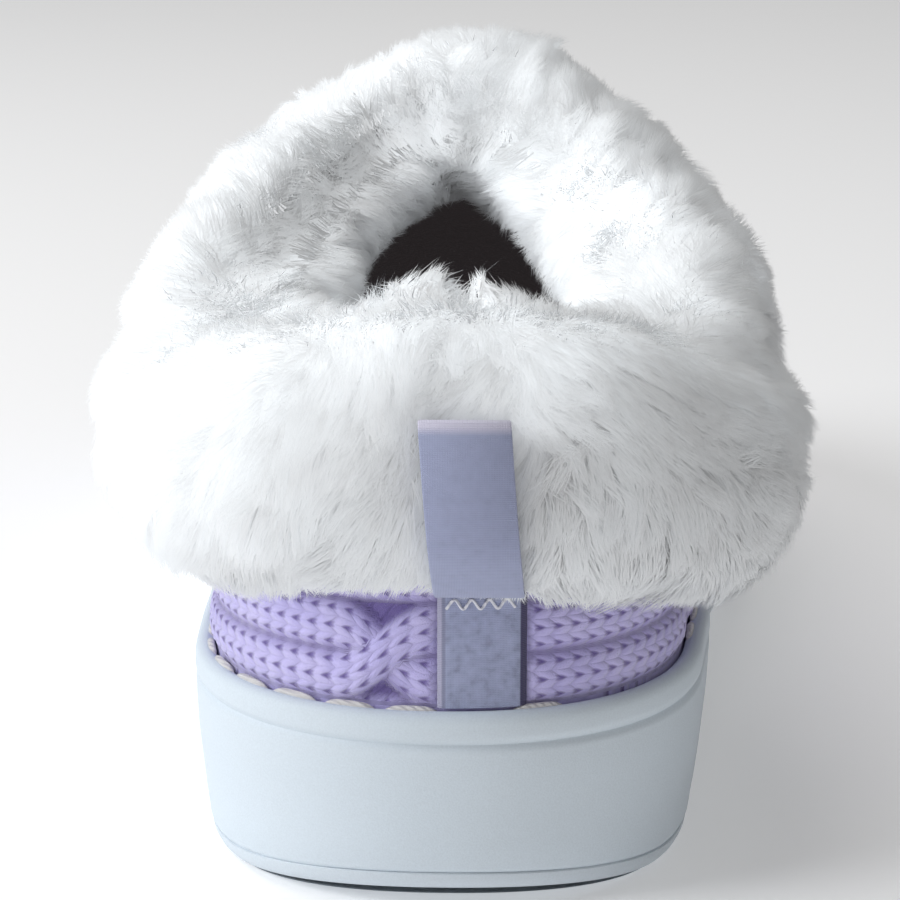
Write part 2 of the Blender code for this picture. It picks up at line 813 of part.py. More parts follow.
def make_pull_loop(parts, material, grid, normals, ups, foot):
    """Ribbon folded into a flat loop, both ends sewn at the top of the stay."""
    path = loop_path(grid, normals, ups, foot)
    tangents = np.gradient(path, axis=0)
    tangents /= np.linalg.norm(tangents, axis=1)[:, None]
    sides = np.stack([-tangents[:, 1], tangents[:, 0]], axis=1) * LOOP_THICKNESS / 2
    mesh = bmesh.new()
    loops = []
    for point, side in zip(path, sides):
        x = RIBBON_OFFSET - LOOP_LEAN * max(point[1] - foot, 0.0)
        corners = []
        for sign, half in ((-1, -1), (-1, 1), (1, 1), (1, -1)):
            place = point + side * sign
            corners.append(mesh.verts.new((x + half * RIBBON_WIDTH / 2, place[0], place[1])))
        loops.append(corners)
    for first, second in zip(loops, loops[1:]):
        for i in range(4):
            j = (i + 1) % 4
            mesh.faces.new((first[i], first[j], second[j], second[i]))
    mesh.faces.new(loops[0])
    mesh.faces.new(loops[-1])
    bmesh.ops.recalc_face_normals(mesh, faces=mesh.faces)
    data = bpy.data.meshes.new("pull_loop")
    mesh.to_mesh(data)
    mesh.free()
    obj = new_object("pull_loop", data, parts, material)
    finish_smooth(obj, 40)
    return obj


def make_material(name, colour, roughness):
    material = bpy.data.materials.new(name)
    material.use_nodes = True
    shader = material.node_tree.nodes["Principled BSDF"]
    shader.inputs["Base Color"].default_value = (*colour, 1.0)
    shader.inputs["Roughness"].default_value = roughness
    shader.inputs["Metallic"].default_value = 0.0
    return material


def clear_scene():
    for obj in list(bpy.data.objects):
        bpy.data.objects.remove(obj, do_unlink=True)


def new_collection(name):
    collection = bpy.data.collections.new(name)
    bpy.context.scene.collection.children.link(collection)
    return collection


def build():
    clear_scene()
    parts = new_collection("slipper")
    cutters = new_collection("cutters")
    foam = make_material("white_foam", (0.80, 0.83, 0.86), 0.55)
    tread = make_material("white_rubber", (0.74, 0.77, 0.80), 0.60)
    footbed = make_material("charcoal_felt", (0.045, 0.038, 0.042), 0.95)
    knit = make_material("lavender_knit", (0.42, 0.37, 0.62), 0.90)
    fur = make_material("white_fur", (0.86, 0.86, 0.87), 0.95)
    ribbon = make_material("grey_lavender_ribbon", (0.34, 0.36, 0.50), 0.70)

    make_outsole(parts, cutters, tread)
    make_midsole(parts, foam)
    make_insole(parts, footbed)
    grid = upper_grid()
    normals, ups = grid_normals(grid)
    make_upper(parts, knit, grid, normals)
    make_fur_collar(parts, cutters, fur, grid, normals, ups)
    hem, _ = down_wall(grid, normals, 0, cuff_drop(0) * 1.03)
    top = hem[2] - GAP * 3
    make_heel_stay(parts, ribbon, grid, normals, top)
    make_pull_loop(parts, ribbon, grid, normals, ups, top)


build()
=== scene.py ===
import math

import bmesh
import bpy
import numpy as np
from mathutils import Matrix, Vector, kdtree


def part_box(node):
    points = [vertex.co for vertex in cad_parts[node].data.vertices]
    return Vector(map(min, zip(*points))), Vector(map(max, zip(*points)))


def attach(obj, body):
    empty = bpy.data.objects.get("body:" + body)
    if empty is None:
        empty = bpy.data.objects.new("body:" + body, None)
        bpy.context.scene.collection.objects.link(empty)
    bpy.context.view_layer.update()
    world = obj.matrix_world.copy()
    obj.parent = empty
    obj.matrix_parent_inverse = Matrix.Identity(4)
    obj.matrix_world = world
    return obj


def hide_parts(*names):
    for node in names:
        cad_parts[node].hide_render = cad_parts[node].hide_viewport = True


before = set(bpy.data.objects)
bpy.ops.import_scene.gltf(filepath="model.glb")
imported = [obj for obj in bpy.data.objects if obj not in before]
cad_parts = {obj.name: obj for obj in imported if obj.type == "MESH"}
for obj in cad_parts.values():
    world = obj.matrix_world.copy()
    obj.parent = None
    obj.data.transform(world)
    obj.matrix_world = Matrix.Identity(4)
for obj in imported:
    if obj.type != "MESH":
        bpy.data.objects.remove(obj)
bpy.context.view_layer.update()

draw = np.random.default_rng(5)

# Outsole: a thin layer of moulded white rubber, bonded under the foam. Shallow chevron
# grooves part it into broad lugs, and fine ribs across their faces give the grip.
SOLE_LOW, SOLE_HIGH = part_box("midsole")
SOLE_LENGTH = SOLE_HIGH[1] - SOLE_LOW[1]
HEEL_BACK = SOLE_LOW[1]
HEEL_WIDTH = 0.079
BALL_WIDTH = 0.101
RIM_HEIGHT = 0.032
HEEL_BEVEL = 0.0032
ARCH_LIFT = 0.002
TOE_SPRING = 0.010
OUTSOLE_THICKNESS = 0.0032
TREAD_CHAMFER = 0.0022
WALL_TAPER = 0.0018
OUTSOLE_STEP = 0.0003
LUG_PITCH = 0.0135
LUG_GROOVE = 0.0042
LUG_DEPTH = 0.0018
LUG_MARGIN = 0.008
LUG_BEND = 0.0034
GAP = 0.0003
HEEL_CAP = (0.15, 2.15)
TOE_CAP = (0.26, 2.25)
WIDENING = (0.22, 0.62)
BEVEL = (0.09, 1.6)
ARCH = (0.38, 0.58)
SPRING = (0.74, 1.9)
SOLE_PLAN = (
    # share of the length, middle and half width in local widths
    (0.00, 0.000, 0.500),
    (0.13, 0.000, 0.500),
    (0.22, 0.012, 0.516),
    (0.30, 0.012, 0.506),
    (0.42, 0.022, 0.474),
    (0.54, 0.036, 0.474),
    (0.64, 0.020, 0.490),
    (0.72, 0.004, 0.500),
    (0.82, -0.020, 0.488),
    (0.92, -0.045, 0.450),
    (1.00, -0.060, 0.420),
)
SOLE_SIDE = (
    # share of the length, rim in rim heights
    (0.00, 1.00),
    (0.20, 0.975),
    (0.45, 0.90),
    (0.70, 0.85),
    (0.86, 0.87),
    (1.00, 0.93),
)
RUBBER_WHITE = (0.64, 0.705, 0.765)


def smooth(share):
    share = np.clip(share, 0.0, 1.0)
    return share * share * (3.0 - 2.0 * share)


def curve(table, share, column=1):
    """Values of a table's column at shares, on a smooth curve through its rows."""
    rows = np.array([row[0] for row in table])
    values = np.array([row[column] for row in table])
    low = np.clip(np.arange(len(rows)) - 1, 0, None)
    high = np.clip(np.arange(len(rows)) + 1, None, len(rows) - 1)
    slopes = (values[high] - values[low]) / (rows[high] - rows[low])
    i = np.clip(np.searchsorted(rows, share, side="right") - 1, 0, len(rows) - 2)
    width = rows[i + 1] - rows[i]
    t = np.clip((share - rows[i]) / width, 0.0, 1.0)
    square, cube = t * t, t * t * t
    return ((2 * cube - 3 * square + 1) * values[i] + (cube - 2 * square + t) * slopes[i] * width
            + (3 * square - 2 * cube) * values[i + 1] + (cube - square) * slopes[i + 1] * width)


def rounded_end(share, end):
    reach, power = end
    return (1.0 - np.clip(1.0 - share / reach, 0.0, 1.0) ** power) ** (1.0 / power)


def column_share(columns):
    """Share of the length at each column round the shoe, from the heel and back to it."""
    return (1.0 - np.cos(2.0 * np.pi * np.arange(columns) / columns)) / 2.0


def sole_outline(columns):
    share = column_share(columns)
    side = np.where(np.arange(columns) <= columns / 2, 1.0, -1.0)
    ends = rounded_end(share, HEEL_CAP) * rounded_end(1.0 - share, TOE_CAP)
    width = HEEL_WIDTH + (BALL_WIDTH - HEEL_WIDTH) * smooth(
        (share - WIDENING[0]) / (WIDENING[1] - WIDENING[0]))
    x = width * (curve(SOLE_PLAN, share, 1) + side * ends * curve(SOLE_PLAN, share, 2))
    points = np.stack([x, HEEL_BACK + share * SOLE_LENGTH], axis=1)
    along = np.roll(points, -1, axis=0) - np.roll(points, 1, axis=0)
    normals = np.stack([along[:, 1], -along[:, 0]], axis=1)
    return points, normals / np.linalg.norm(normals, axis=1)[:, None]


def ground(share):
    """Underside of the sole: flat under heel and ball, lifted at heel, arch and toe."""
    heel = HEEL_BEVEL * np.clip(1.0 - share / BEVEL[0], 0.0, 1.0) ** BEVEL[1]
    arch = np.clip((share - ARCH[0]) / (ARCH[1] - ARCH[0]), 0.0, 1.0)
    toe = TOE_SPRING * np.clip((share - SPRING[0]) / (1.0 - SPRING[0]), 0.0, 1.0) ** SPRING[1]
    return heel + ARCH_LIFT * np.sin(np.pi * arch) ** 2 + toe


def rim(share):
    return RIM_HEIGHT * curve(SOLE_SIDE, share)


def ring(columns, inset, height):
    """Loop inside the outline of the sole, at a height worked out from its shares."""
    points, normals = sole_outline(columns)
    flat = points - normals * inset
    return np.column_stack([flat, height(column_share(columns))])


def stacked(rings):
    """Points and faces of a skin through loops that have the same count."""
    count = len(rings[0])
    faces = []
    for level in range(len(rings) - 1):
        low = np.arange(count) + level * count
        turn = np.roll(np.arange(count), -1) + level * count
        faces.append(np.stack([low, turn, turn + count, low + count], axis=1))
    return np.concatenate(rings), np.concatenate(faces)


def across(loop, strips, height=None):
    """Lid from side to side of a loop, in strips, which keeps its bend along the shoe."""
    half = len(loop) // 2
    outer, inner = loop[:half + 1], np.roll(loop[::-1], 1, axis=0)[:half + 1]
    t = np.linspace(0.0, 1.0, strips + 1)[None, :, None]
    grid = inner[:, None] * (1 - t) + outer[:, None] * t
    if height is not None:
        grid[:, :, 2] = height(grid)
    index = np.arange(grid.shape[0] * grid.shape[1]).reshape(grid.shape[:2])
    faces = np.stack([index[:-1, :-1], index[:-1, 1:], index[1:, 1:], index[1:, :-1]], axis=2)
    return grid.reshape(-1, 3), faces.reshape(-1, 4)


def piece(name, parts, material, node=None, merge=True, sharp=40):
    """Object from sets of points and faces, riding on the shoe."""
    points, faces, start = [], [], 0
    for verts, quads in parts:
        points.append(verts)
        faces += (np.asarray(quads) + start).tolist()
        start += len(verts)
    data = bpy.data.meshes.new(name)
    data.from_pydata(np.concatenate(points).tolist(), [], faces)
    mesh = bmesh.new()
    mesh.from_mesh(data)
    if merge:
        bmesh.ops.remove_doubles(mesh, verts=mesh.verts, dist=1e-6)
        bmesh.ops.dissolve_degenerate(mesh, edges=mesh.edges, dist=1e-7)
    bmesh.ops.recalc_face_normals(mesh, faces=mesh.faces)
    mesh.to_mesh(data)
    mesh.free()
    data.shade_smooth()
    if sharp:
        data.set_sharp_from_angle(angle=math.radians(sharp))
    data.materials.append(material)
    obj = bpy.data.objects.new(name, data)
    bpy.context.scene.collection.objects.link(obj)
    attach(obj, "root")
    if node:
        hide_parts(node)
    return obj


def new_material(name, colour, roughness):
    material = bpy.data.materials.new(name)
    material.use_nodes = True
    shader = material.node_tree.nodes["Principled BSDF"]
    shader.inputs["Base Color"].default_value = (*colour, 1.0)
    shader.inputs["Roughness"].default_value = roughness
    return material, material.node_tree, shader


def add_node(tree, kind, inputs=None, **settings):
    """Node with its settings, and its inputs as values or as other nodes' outputs."""
    node = tree.nodes.new(kind)
    for key, value in settings.items():
        setattr(node, key, value)
    for key, value in (inputs or {}).items():
        if isinstance(value, bpy.types.NodeSocket):
            tree.links.new(value, node.inputs[key])
        else:
            node.inputs[key].default_value = value
    return node


def math_node(tree, operation, first, second=0.0, clamp=False):
    return add_node(tree, "ShaderNodeMath", {0: first, 1: second},
                    operation=operation, use_clamp=clamp).outputs[0]


def mixed(tree, share, first, second):
    """Colour between two colours, each a colour or another node's output."""
    values = [(*c, 1.0) if isinstance(c, tuple) else c for c in (first, second)]
    node = add_node(tree, "ShaderNodeMix", {"Factor": share, 6: values[0], 7: values[1]},
                    data_type="RGBA")
    return node.outputs[2]


def moulded_group():
    """Grain and soft staining of moulded foam and rubber, both from the object's place."""
    group = bpy.data.node_groups.new("moulded_skin", "ShaderNodeTree")
    face = group.interface
    face.new_socket("Colour", in_out="INPUT", socket_type="NodeSocketColor")
    face.new_socket("Grain Scale", in_out="INPUT", socket_type="NodeSocketFloat")
    face.new_socket("Grain Depth", in_out="INPUT", socket_type="NodeSocketFloat")
    face.new_socket("Colour", in_out="OUTPUT", socket_type="NodeSocketColor")
    face.new_socket("Normal", in_out="OUTPUT", socket_type="NodeSocketVector")
    start = group.nodes.new("NodeGroupInput")
    end = group.nodes.new("NodeGroupOutput")
    place = group.nodes.new("ShaderNodeTexCoord").outputs["Object"]
    grain = add_node(group, "ShaderNodeTexNoise", {
        "Vector": place, "Scale": start.outputs["Grain Scale"], "Detail": 3.0})
    stain = add_node(group, "ShaderNodeTexNoise", {
        "Vector": place, "Scale": 34.0, "Detail": 4.0, "Roughness": 0.6})
    tint = add_node(group, "ShaderNodeMapRange", {
        "Value": stain.outputs["Fac"], "From Min": 0.35, "From Max": 0.75,
        "To Min": 0.0, "To Max": 0.10})
    speck = add_node(group, "ShaderNodeMapRange", {
        "Value": grain.outputs["Fac"], "From Min": 0.3, "From Max": 0.7,
        "To Min": 0.96, "To Max": 1.03})
    warm = mixed(group, tint.outputs[0], start.outputs["Colour"], (0.62, 0.63, 0.64))
    toned = add_node(group, "ShaderNodeVectorMath", {
        0: warm, "Scale": speck.outputs[0]}, operation="SCALE")
    bump = add_node(group, "ShaderNodeBump", {
        "Height": grain.outputs["Fac"], "Strength": 0.35,
        "Distance": start.outputs["Grain Depth"]})
    group.links.new(toned.outputs[0], end.inputs["Colour"])
    group.links.new(bump.outputs[0], end.inputs["Normal"])
    return group


MOULDED = moulded_group()


def moulded_material(name, colour, roughness, grain_scale, grain_depth):
    material, tree, shader = new_material(name, colour, roughness)
    skin = tree.nodes.new("ShaderNodeGroup")
    skin.node_tree = MOULDED
    skin.inputs["Colour"].default_value = (*colour, 1.0)
    skin.inputs["Grain Scale"].default_value = grain_scale
    skin.inputs["Grain Depth"].default_value = grain_depth
    tree.links.new(skin.outputs["Colour"], shader.inputs["Base Color"])
    tree.links.new(skin.outputs["Normal"], shader.inputs["Normal"])
    return material


def tread_height(grid):
    """Underside with the chevron grooves between the lugs."""
    x, y = grid[:, :, 0], grid[:, :, 1]
    share = (y - HEEL_BACK) / SOLE_LENGTH
    edge_left, edge_right = x[:, :1], x[:, -1:]
    middle, half = (edge_left + edge_right) / 2, np.maximum((edge_right - edge_left) / 2, 1e-6)
    chevron = LUG_BEND * (0.5 - np.abs(x - middle) / half)
    phase = ((y - chevron) / LUG_PITCH) % 1.0 - 0.5
    inside = smooth((half - np.abs(x - middle) - LUG_MARGIN + 0.002) / 0.002)
    step = LUG_PITCH / SOLE_LENGTH
    inside = inside * (share > step) * (share < 1.0 - step)
    wall = 0.12
    depth = smooth((LUG_GROOVE / LUG_PITCH / 2 + wall / 2 - np.abs(phase)) / wall)
    return ground(share) + LUG_DEPTH * depth * inside


SOLE_COLUMNS = 480
foot_inset = WALL_TAPER + OUTSOLE_STEP
outsole_rings = [
    ring(SOLE_COLUMNS, foot_inset + TREAD_CHAMFER, ground),
    ring(SOLE_COLUMNS, foot_inset + TREAD_CHAMFER * 0.6,
         lambda share: ground(share) + OUTSOLE_THICKNESS * 0.12),
    ring(SOLE_COLUMNS, foot_inset + TREAD_CHAMFER * 0.28,
         lambda share: ground(share) + OUTSOLE_THICKNESS * 0.36),
    ring(SOLE_COLUMNS, foot_inset + TREAD_CHAMFER * 0.06,
         lambda share: ground(share) + OUTSOLE_THICKNESS * 0.65),
    ring(SOLE_COLUMNS, foot_inset, lambda share: ground(share) + OUTSOLE_THICKNESS * 0.94),
    ring(SOLE_COLUMNS, foot_inset + 0.0002, lambda share: ground(share) + OUTSOLE_THICKNESS),
]
rubber = moulded_material("white_tread_rubber", RUBBER_WHITE, 0.6, 3600.0, 0.00012)
piece("outsole_tread", [
    stacked(outsole_rings),
    across(outsole_rings[0], 34, tread_height),
    across(outsole_rings[-1], 1),
], rubber, "outsole", sharp=50)

# Midsole: one block of white foam, moulded as a cup with near upright sides, a thin
# groove under its rolled rim and a fine dimpled skin. It carries the whole shoe.
RIM_WIDTH = 0.0030
RIM_ROLL = 0.0016
RIM_GROOVE_DROP = 0.0042
RIM_GROOVE_WIDTH = 0.0013
RIM_GROOVE_DEPTH = 0.00055
FOAM_CHAMFER = 0.0006
WALL_FLARE_HEIGHT = 0.010
CUP_DEPTH = 0.012
FOAM_WHITE = (0.66, 0.735, 0.80)
FOAM_WALL = (
    # counted from foot or rim, height, inset
    ("foot", -GAP, WALL_TAPER + FOAM_CHAMFER),
    ("foot", FOAM_CHAMFER * 0.3, WALL_TAPER + FOAM_CHAMFER * 0.35),
    ("foot", FOAM_CHAMFER, WALL_TAPER),
    ("foot", WALL_FLARE_HEIGHT * 0.5, WALL_TAPER * 0.70),
    ("foot", WALL_FLARE_HEIGHT, WALL_TAPER * 0.42),
    ("foot", WALL_FLARE_HEIGHT * 1.5, WALL_TAPER * 0.16),
    ("rim", -RIM_GROOVE_DROP - RIM_GROOVE_WIDTH * 1.6, 0.0),
    ("rim", -RIM_GROOVE_DROP - RIM_GROOVE_WIDTH, RIM_GROOVE_DEPTH * 0.15),
    ("rim", -RIM_GROOVE_DROP - RIM_GROOVE_WIDTH * 0.7, RIM_GROOVE_DEPTH * 0.8),
    ("rim", -RIM_GROOVE_DROP - RIM_GROOVE_WIDTH * 0.5, RIM_GROOVE_DEPTH),
    ("rim", -RIM_GROOVE_DROP - RIM_GROOVE_WIDTH * 0.3, RIM_GROOVE_DEPTH * 0.8),
    ("rim", -RIM_GROOVE_DROP, RIM_GROOVE_DEPTH * 0.15),
    ("rim", -RIM_GROOVE_DROP * 0.8, -RIM_ROLL * 0.05),
    ("rim", -RIM_ROLL * 1.1, 0.0),
    ("rim", -RIM_ROLL * 0.70, RIM_ROLL * 0.08),
    ("rim", -RIM_ROLL * 0.36, RIM_ROLL * 0.30),
    ("rim", -RIM_ROLL * 0.12, RIM_ROLL * 0.62),
    ("rim", 0.0, RIM_ROLL),
    ("rim", -RIM_ROLL * 0.10, RIM_ROLL * 1.35),
    ("rim", -RIM_ROLL * 0.45, RIM_WIDTH - RIM_ROLL * 0.1),
    ("rim", -RIM_ROLL * 1.1, RIM_WIDTH),
    ("rim", -CUP_DEPTH, RIM_WIDTH),
)


def foam_level(start, height):
    if start == "foot":
        return lambda share: ground(share) + OUTSOLE_THICKNESS + GAP + height
    return lambda share: rim(share) + height


foam_rings = [ring(SOLE_COLUMNS, inset, foam_level(start, height))
              for start, height, inset in FOAM_WALL]
foam = moulded_material("white_cup_foam", FOAM_WHITE, 0.62, 3600.0, 0.00012)
piece("midsole_foam", [
    stacked(foam_rings),
    across(foam_rings[0], 1),
    across(foam_rings[-1], 1),
], foam, "midsole")

# Insole: a footbed of charcoal felt over soft foam, dished a little along its middle.
# It lies loose in the cup and is seen only down through the collar.
INSOLE_THICKNESS = 0.0055
INSOLE_ROUNDING = 0.002
INSOLE_DISH = 0.012
KNIT_WALL = 0.0025
CHARCOAL = (0.100, 0.084, 0.089)


def cup_floor(share):
    return rim(share) - CUP_DEPTH


def felt_material(name, colour, fibre_scale):
    """Short brushed pile: fine fibres in the bump, and lint in the colour."""
    material, tree, shader = new_material(name, colour, 0.95)
    shader.inputs["Sheen Weight"].default_value = 0.25
    shader.inputs["Sheen Roughness"].default_value = 0.6
    place = tree.nodes.new("ShaderNodeTexCoord").outputs["Object"]
    fibres = add_node(tree, "ShaderNodeTexNoise", {
        "Vector": place, "Scale": fibre_scale, "Detail": 5.0, "Distortion": 1.5})
    lint = add_node(tree, "ShaderNodeMapRange", {
        "Value": fibres.outputs["Fac"], "From Min": 0.45, "From Max": 0.8})
    pale = tuple(min(c * 2.6 + 0.02, 1.0) for c in colour)
    tree.links.new(mixed(tree, lint.outputs[0], colour, pale), shader.inputs["Base Color"])
    bump = add_node(tree, "ShaderNodeBump", {
        "Height": fibres.outputs["Fac"], "Strength": 0.8, "Distance": 0.0006})
    tree.links.new(bump.outputs[0], shader.inputs["Normal"])
    return material


def insole_level(height):
    return lambda share: cup_floor(share) + GAP + height


insole_edge = RIM_WIDTH + GAP + KNIT_WALL + GAP
insole_rings = [
    ring(240, insole_edge, insole_level(0.0)),
    ring(240, insole_edge, insole_level(INSOLE_THICKNESS * 0.75)),
    ring(240, insole_edge + INSOLE_ROUNDING * 0.3, insole_level(INSOLE_THICKNESS * 0.93)),
    ring(240, insole_edge + INSOLE_ROUNDING, insole_level(INSOLE_THICKNESS)),
    ring(240, insole_edge + INSOLE_ROUNDING * 2.5, insole_level(INSOLE_THICKNESS * 0.97)),
    ring(240, insole_edge + INSOLE_DISH, insole_level(INSOLE_THICKNESS * 0.86)),
]
felt = felt_material("charcoal_felt", CHARCOAL, 900.0)
insole = piece("insole_felt", [
    stacked(insole_rings),
    across(insole_rings[0], 1),
    across(insole_rings[-1], 12),
], felt, "insole", sharp=0)

# Upper: one lavender knit of thick soft yarn, worked in cables that run along the shoe
# and round the heel. It is cut to the last and glued down inside the rim of the foam.
HEEL_COUNTER_HEIGHT = 0.082
INSTEP_HEIGHT = 0.102
TOE_BOX_HEIGHT = 0.030
THROAT_DISTANCE = 0.098
COLLAR_WIDTH = 0.064
COLLAR_BACK_LEAN = 0.0012
COLLAR_POWERS = (0.80, 0.94)
THROAT_NARROWING = 0.20
THROAT_START = 0.35
TOE_BOX_START = 0.6
COLLAR_HANDLE_SLOPE = 0.62
COLLAR_EDGE = (
    # turn from heel to throat, height: 0 at the heel counter and 1 at the instep
    (0.00, 0.00),
    (0.20, -0.10),
    (0.40, -0.08),
    (0.60, 0.22),
    (0.80, 0.72),
    (1.00, 1.00),
)
UPPER_FULLNESS = (
    # turn, upright handle and outward handle of the wall's curve
    (0.00, 0.40, 0.10),
    (0.30, 0.45, 0.15),
    (0.50, 0.55, 0.30),
    (0.70, 0.50, 0.42),
    (1.00, 0.42, 0.50),
)
KNIT_COLUMNS = 960
KNIT_ROWS = 98
STRAND_WIDTH = 0.008
STRAND_HEIGHT = 0.0017
STRAND_SINK = 0.0008
CROSSING_EVERY = 0.056
CROSSING_LENGTH = 0.015
CROSSING_LIFT = 0.0006
STITCHES_ACROSS = 3
STITCH_LENGTH = 0.0029
STITCH_HEIGHT = 0.00026
PAIRS_ON_SIDE = 5
RIBBON_WIDTH = 0.0127
RIBBON_OFFSET = 0.0055
LAVENDER = (0.57, 0.52, 0.91)
# Deep lavender: painted shade in the knit's holes and between its cables.
LAVENDER_PAINTED_SHADE = (0.135, 0.09, 0.33)


def signed_power(value, power):
    return np.copysign(np.abs(value) ** power, value)


def column_turn(columns):
    return 1.0 - np.abs(1.0 - 2.0 * np.arange(columns) / columns)


def collar_edge(columns):
    angle = 2.0 * np.pi * np.arange(columns) / columns
    turn = column_turn(columns)
    back = HEEL_BACK + RIM_WIDTH + GAP + COLLAR_BACK_LEAN
    front = HEEL_BACK + THROAT_DISTANCE
    narrowing = 1.0 - THROAT_NARROWING * smooth((turn - THROAT_START) / (1.0 - THROAT_START))
    x = signed_power(np.sin(angle), COLLAR_POWERS[0]) * COLLAR_WIDTH / 2 * narrowing
    y = (back + front) / 2 - (front - back) / 2 * signed_power(np.cos(angle), COLLAR_POWERS[1])
    z = HEEL_COUNTER_HEIGHT + (INSTEP_HEIGHT - HEEL_COUNTER_HEIGHT) * curve(COLLAR_EDGE, turn)
    return np.stack([x, y, z], axis=1)


def upper_wall(columns, rows):
    """Outer face of the upper: columns round the shoe, rows from cup floor to collar."""
    inset = RIM_WIDTH + GAP
    floor = ring(columns, inset, lambda share: cup_floor(share) + GAP)
    low, high, turn = ring(columns, inset, rim), collar_edge(columns), column_turn(columns)
    upright = curve(UPPER_FULLNESS, turn, 1) * (high[:, 2] - low[:, 2])
    toe = smooth((turn - TOE_BOX_START) / (1.0 - TOE_BOX_START))
    upright += (TOE_BOX_HEIGHT - upright) * toe
    outward = (high - low) * np.array((1.0, 1.0, COLLAR_HANDLE_SLOPE))
    leave = high - outward * curve(UPPER_FULLNESS, turn, 2)[:, None]
    lift = low + np.stack([turn * 0, turn * 0, upright], axis=1)
    t = np.linspace(0.0, 1.0, rows + 1)[None, :, None]
    low, lift, leave, high = (p[:, None] for p in (low, lift, leave, high))
    wall = ((1 - t) ** 3 * low + 3 * (1 - t) ** 2 * t * lift
            + 3 * (1 - t) * t * t * leave + t ** 3 * high)
    return np.concatenate([floor[:, None], wall], axis=1)


def unit(vectors):
    return vectors / np.maximum(np.linalg.norm(vectors, axis=-1, keepdims=True), 1e-9)


def wall_frames(wall):
    """Outward normals and up-the-wall directions at each point of a wall."""
    around = np.roll(wall, -1, axis=0) - np.roll(wall, 1, axis=0)
    up = np.gradient(wall, axis=1)
    up[:, 0] = wall[:, 1] - wall[:, 0]
    normals = unit(np.cross(around, up))
    normals[:, 0, 2] = 0.0
    normals[:, 0] = unit(normals[:, 0])
    normals[:, 1] = normals[:, 0]
    return normals, unit(up)


def knit_lines(wall):
    """Distance across the knitted lines, from the ridge of the vamp, and along them."""
    half = KNIT_COLUMNS // 2
    x, y, z = wall[:, :, 0], wall[:, :, 1], wall[:, :, 2]
    steps = np.linalg.norm(np.diff(wall[:, 1:], axis=1), axis=2)
    climb = np.concatenate([np.zeros((len(wall), 2)), np.cumsum(steps, axis=1)], axis=1)
    edge = wall[:, 1]
    lengths = np.linalg.norm(np.diff(edge[:half + 1, :2], axis=0), axis=1)
    girth = np.concatenate([[0.0], np.cumsum(lengths)])
    girth = np.concatenate([girth, girth[1:half][::-1]])[:, None] + x * 0
    ridge = wall[half, 1:][::-1]
    ridge_run = np.concatenate([[0.0], np.cumsum(np.linalg.norm(np.diff(ridge, axis=0), axis=1))])
    ridge_y = np.maximum.accumulate(ridge[:, 1])
    middle = np.interp(y, ridge_y, ridge[:, 0])
    top = np.interp(y, ridge_y, ridge[:, 2])
    run = np.interp(y, ridge_y, ridge_run)
    outer, inner = edge[:half + 1], np.roll(edge[::-1], 1, axis=0)[:half + 1]
    flank = np.where(x > middle, np.interp(y, outer[:, 1], outer[:, 0]),
                     np.interp(y, inner[:, 1], inner[:, 0]))
    foot = np.interp(y, outer[:, 1], outer[:, 2])
    width = np.maximum(np.abs(flank - middle), 0.004)
    height = np.maximum(top - foot, 0.004)
    angle = np.arctan2(np.abs(x - middle) / width, np.maximum(z - foot, 0.0) / height)
    arc = x * 0
    for step in (np.arange(20) + 0.5) / 20:
        arc += np.hypot(width * np.cos(angle * step), height * np.sin(angle * step)) * angle / 20
    side_top = STRAND_WIDTH * (2 * PAIRS_ON_SIDE + 1)
    vamp = smooth((y - 0.050) / 0.050)
    joint = np.interp(0.075, outer[:, 1], np.concatenate([[0.0], np.cumsum(lengths)]))
    joint_run = np.interp(0.075, ridge_y, ridge_run)
    line = (side_top - climb) * (1 - vamp) + arc * vamp
    along = girth * (1 - vamp) + (joint + run - joint_run) * vamp
    return line, along, climb, x > middle, vamp


def cabled(line, along, outer_side):
    """Height of the cables, and the place across the stitches of the strand on top."""
    pair_width = 2 * STRAND_WIDTH
    pair = np.round(line / pair_width)
    place = np.where(pair == 0, line * np.where(outer_side, 1, -1), line - pair * pair_width)
    first = np.where(pair % 2 == 0, 0.037, 0.009) + np.where(outer_side & (pair > 0), 0.048, 0.0)
    beat = (along - first + CROSSING_EVERY / 2) % CROSSING_EVERY - CROSSING_EVERY / 2
    turn = np.clip(beat / CROSSING_LENGTH + 0.5, 0.0, 1.0)
    swing = np.cos(np.pi * turn) * STRAND_WIDTH / 2
    lift = np.sin(np.pi * turn) * CROSSING_LIFT
    heights, centres = [], []
    for centre, raised in ((-swing, lift), (swing, -lift * 0.6)):
        round_top = np.sqrt(np.clip(1.0 - ((place - centre) / (STRAND_WIDTH * 0.54)) ** 2, 0.0, 1.0))
        heights.append(STRAND_HEIGHT * round_top + raised * round_top)
        centres.append(centre)
    on_top = heights[0] >= heights[1]
    height = np.where(on_top, heights[0], heights[1])
    across_strand = (place - np.where(on_top, centres[0], centres[1])) / STRAND_WIDTH
    return height, across_strand * STITCHES_ACROSS + STITCHES_ACROSS / 2


def stitch_height(across_strand, along):
    """One V for each stitch: two legs that lean together, with a hole between them."""
    leg = np.abs(across_strand % 1.0 - 0.5)
    beat = (along / STITCH_LENGTH + leg * 1.1) % 1.0
    return np.sqrt(np.clip(1.0 - ((leg - 0.25) * 3.6) ** 2, 0.0, 1.0)) * np.sin(np.pi * beat) ** 0.7


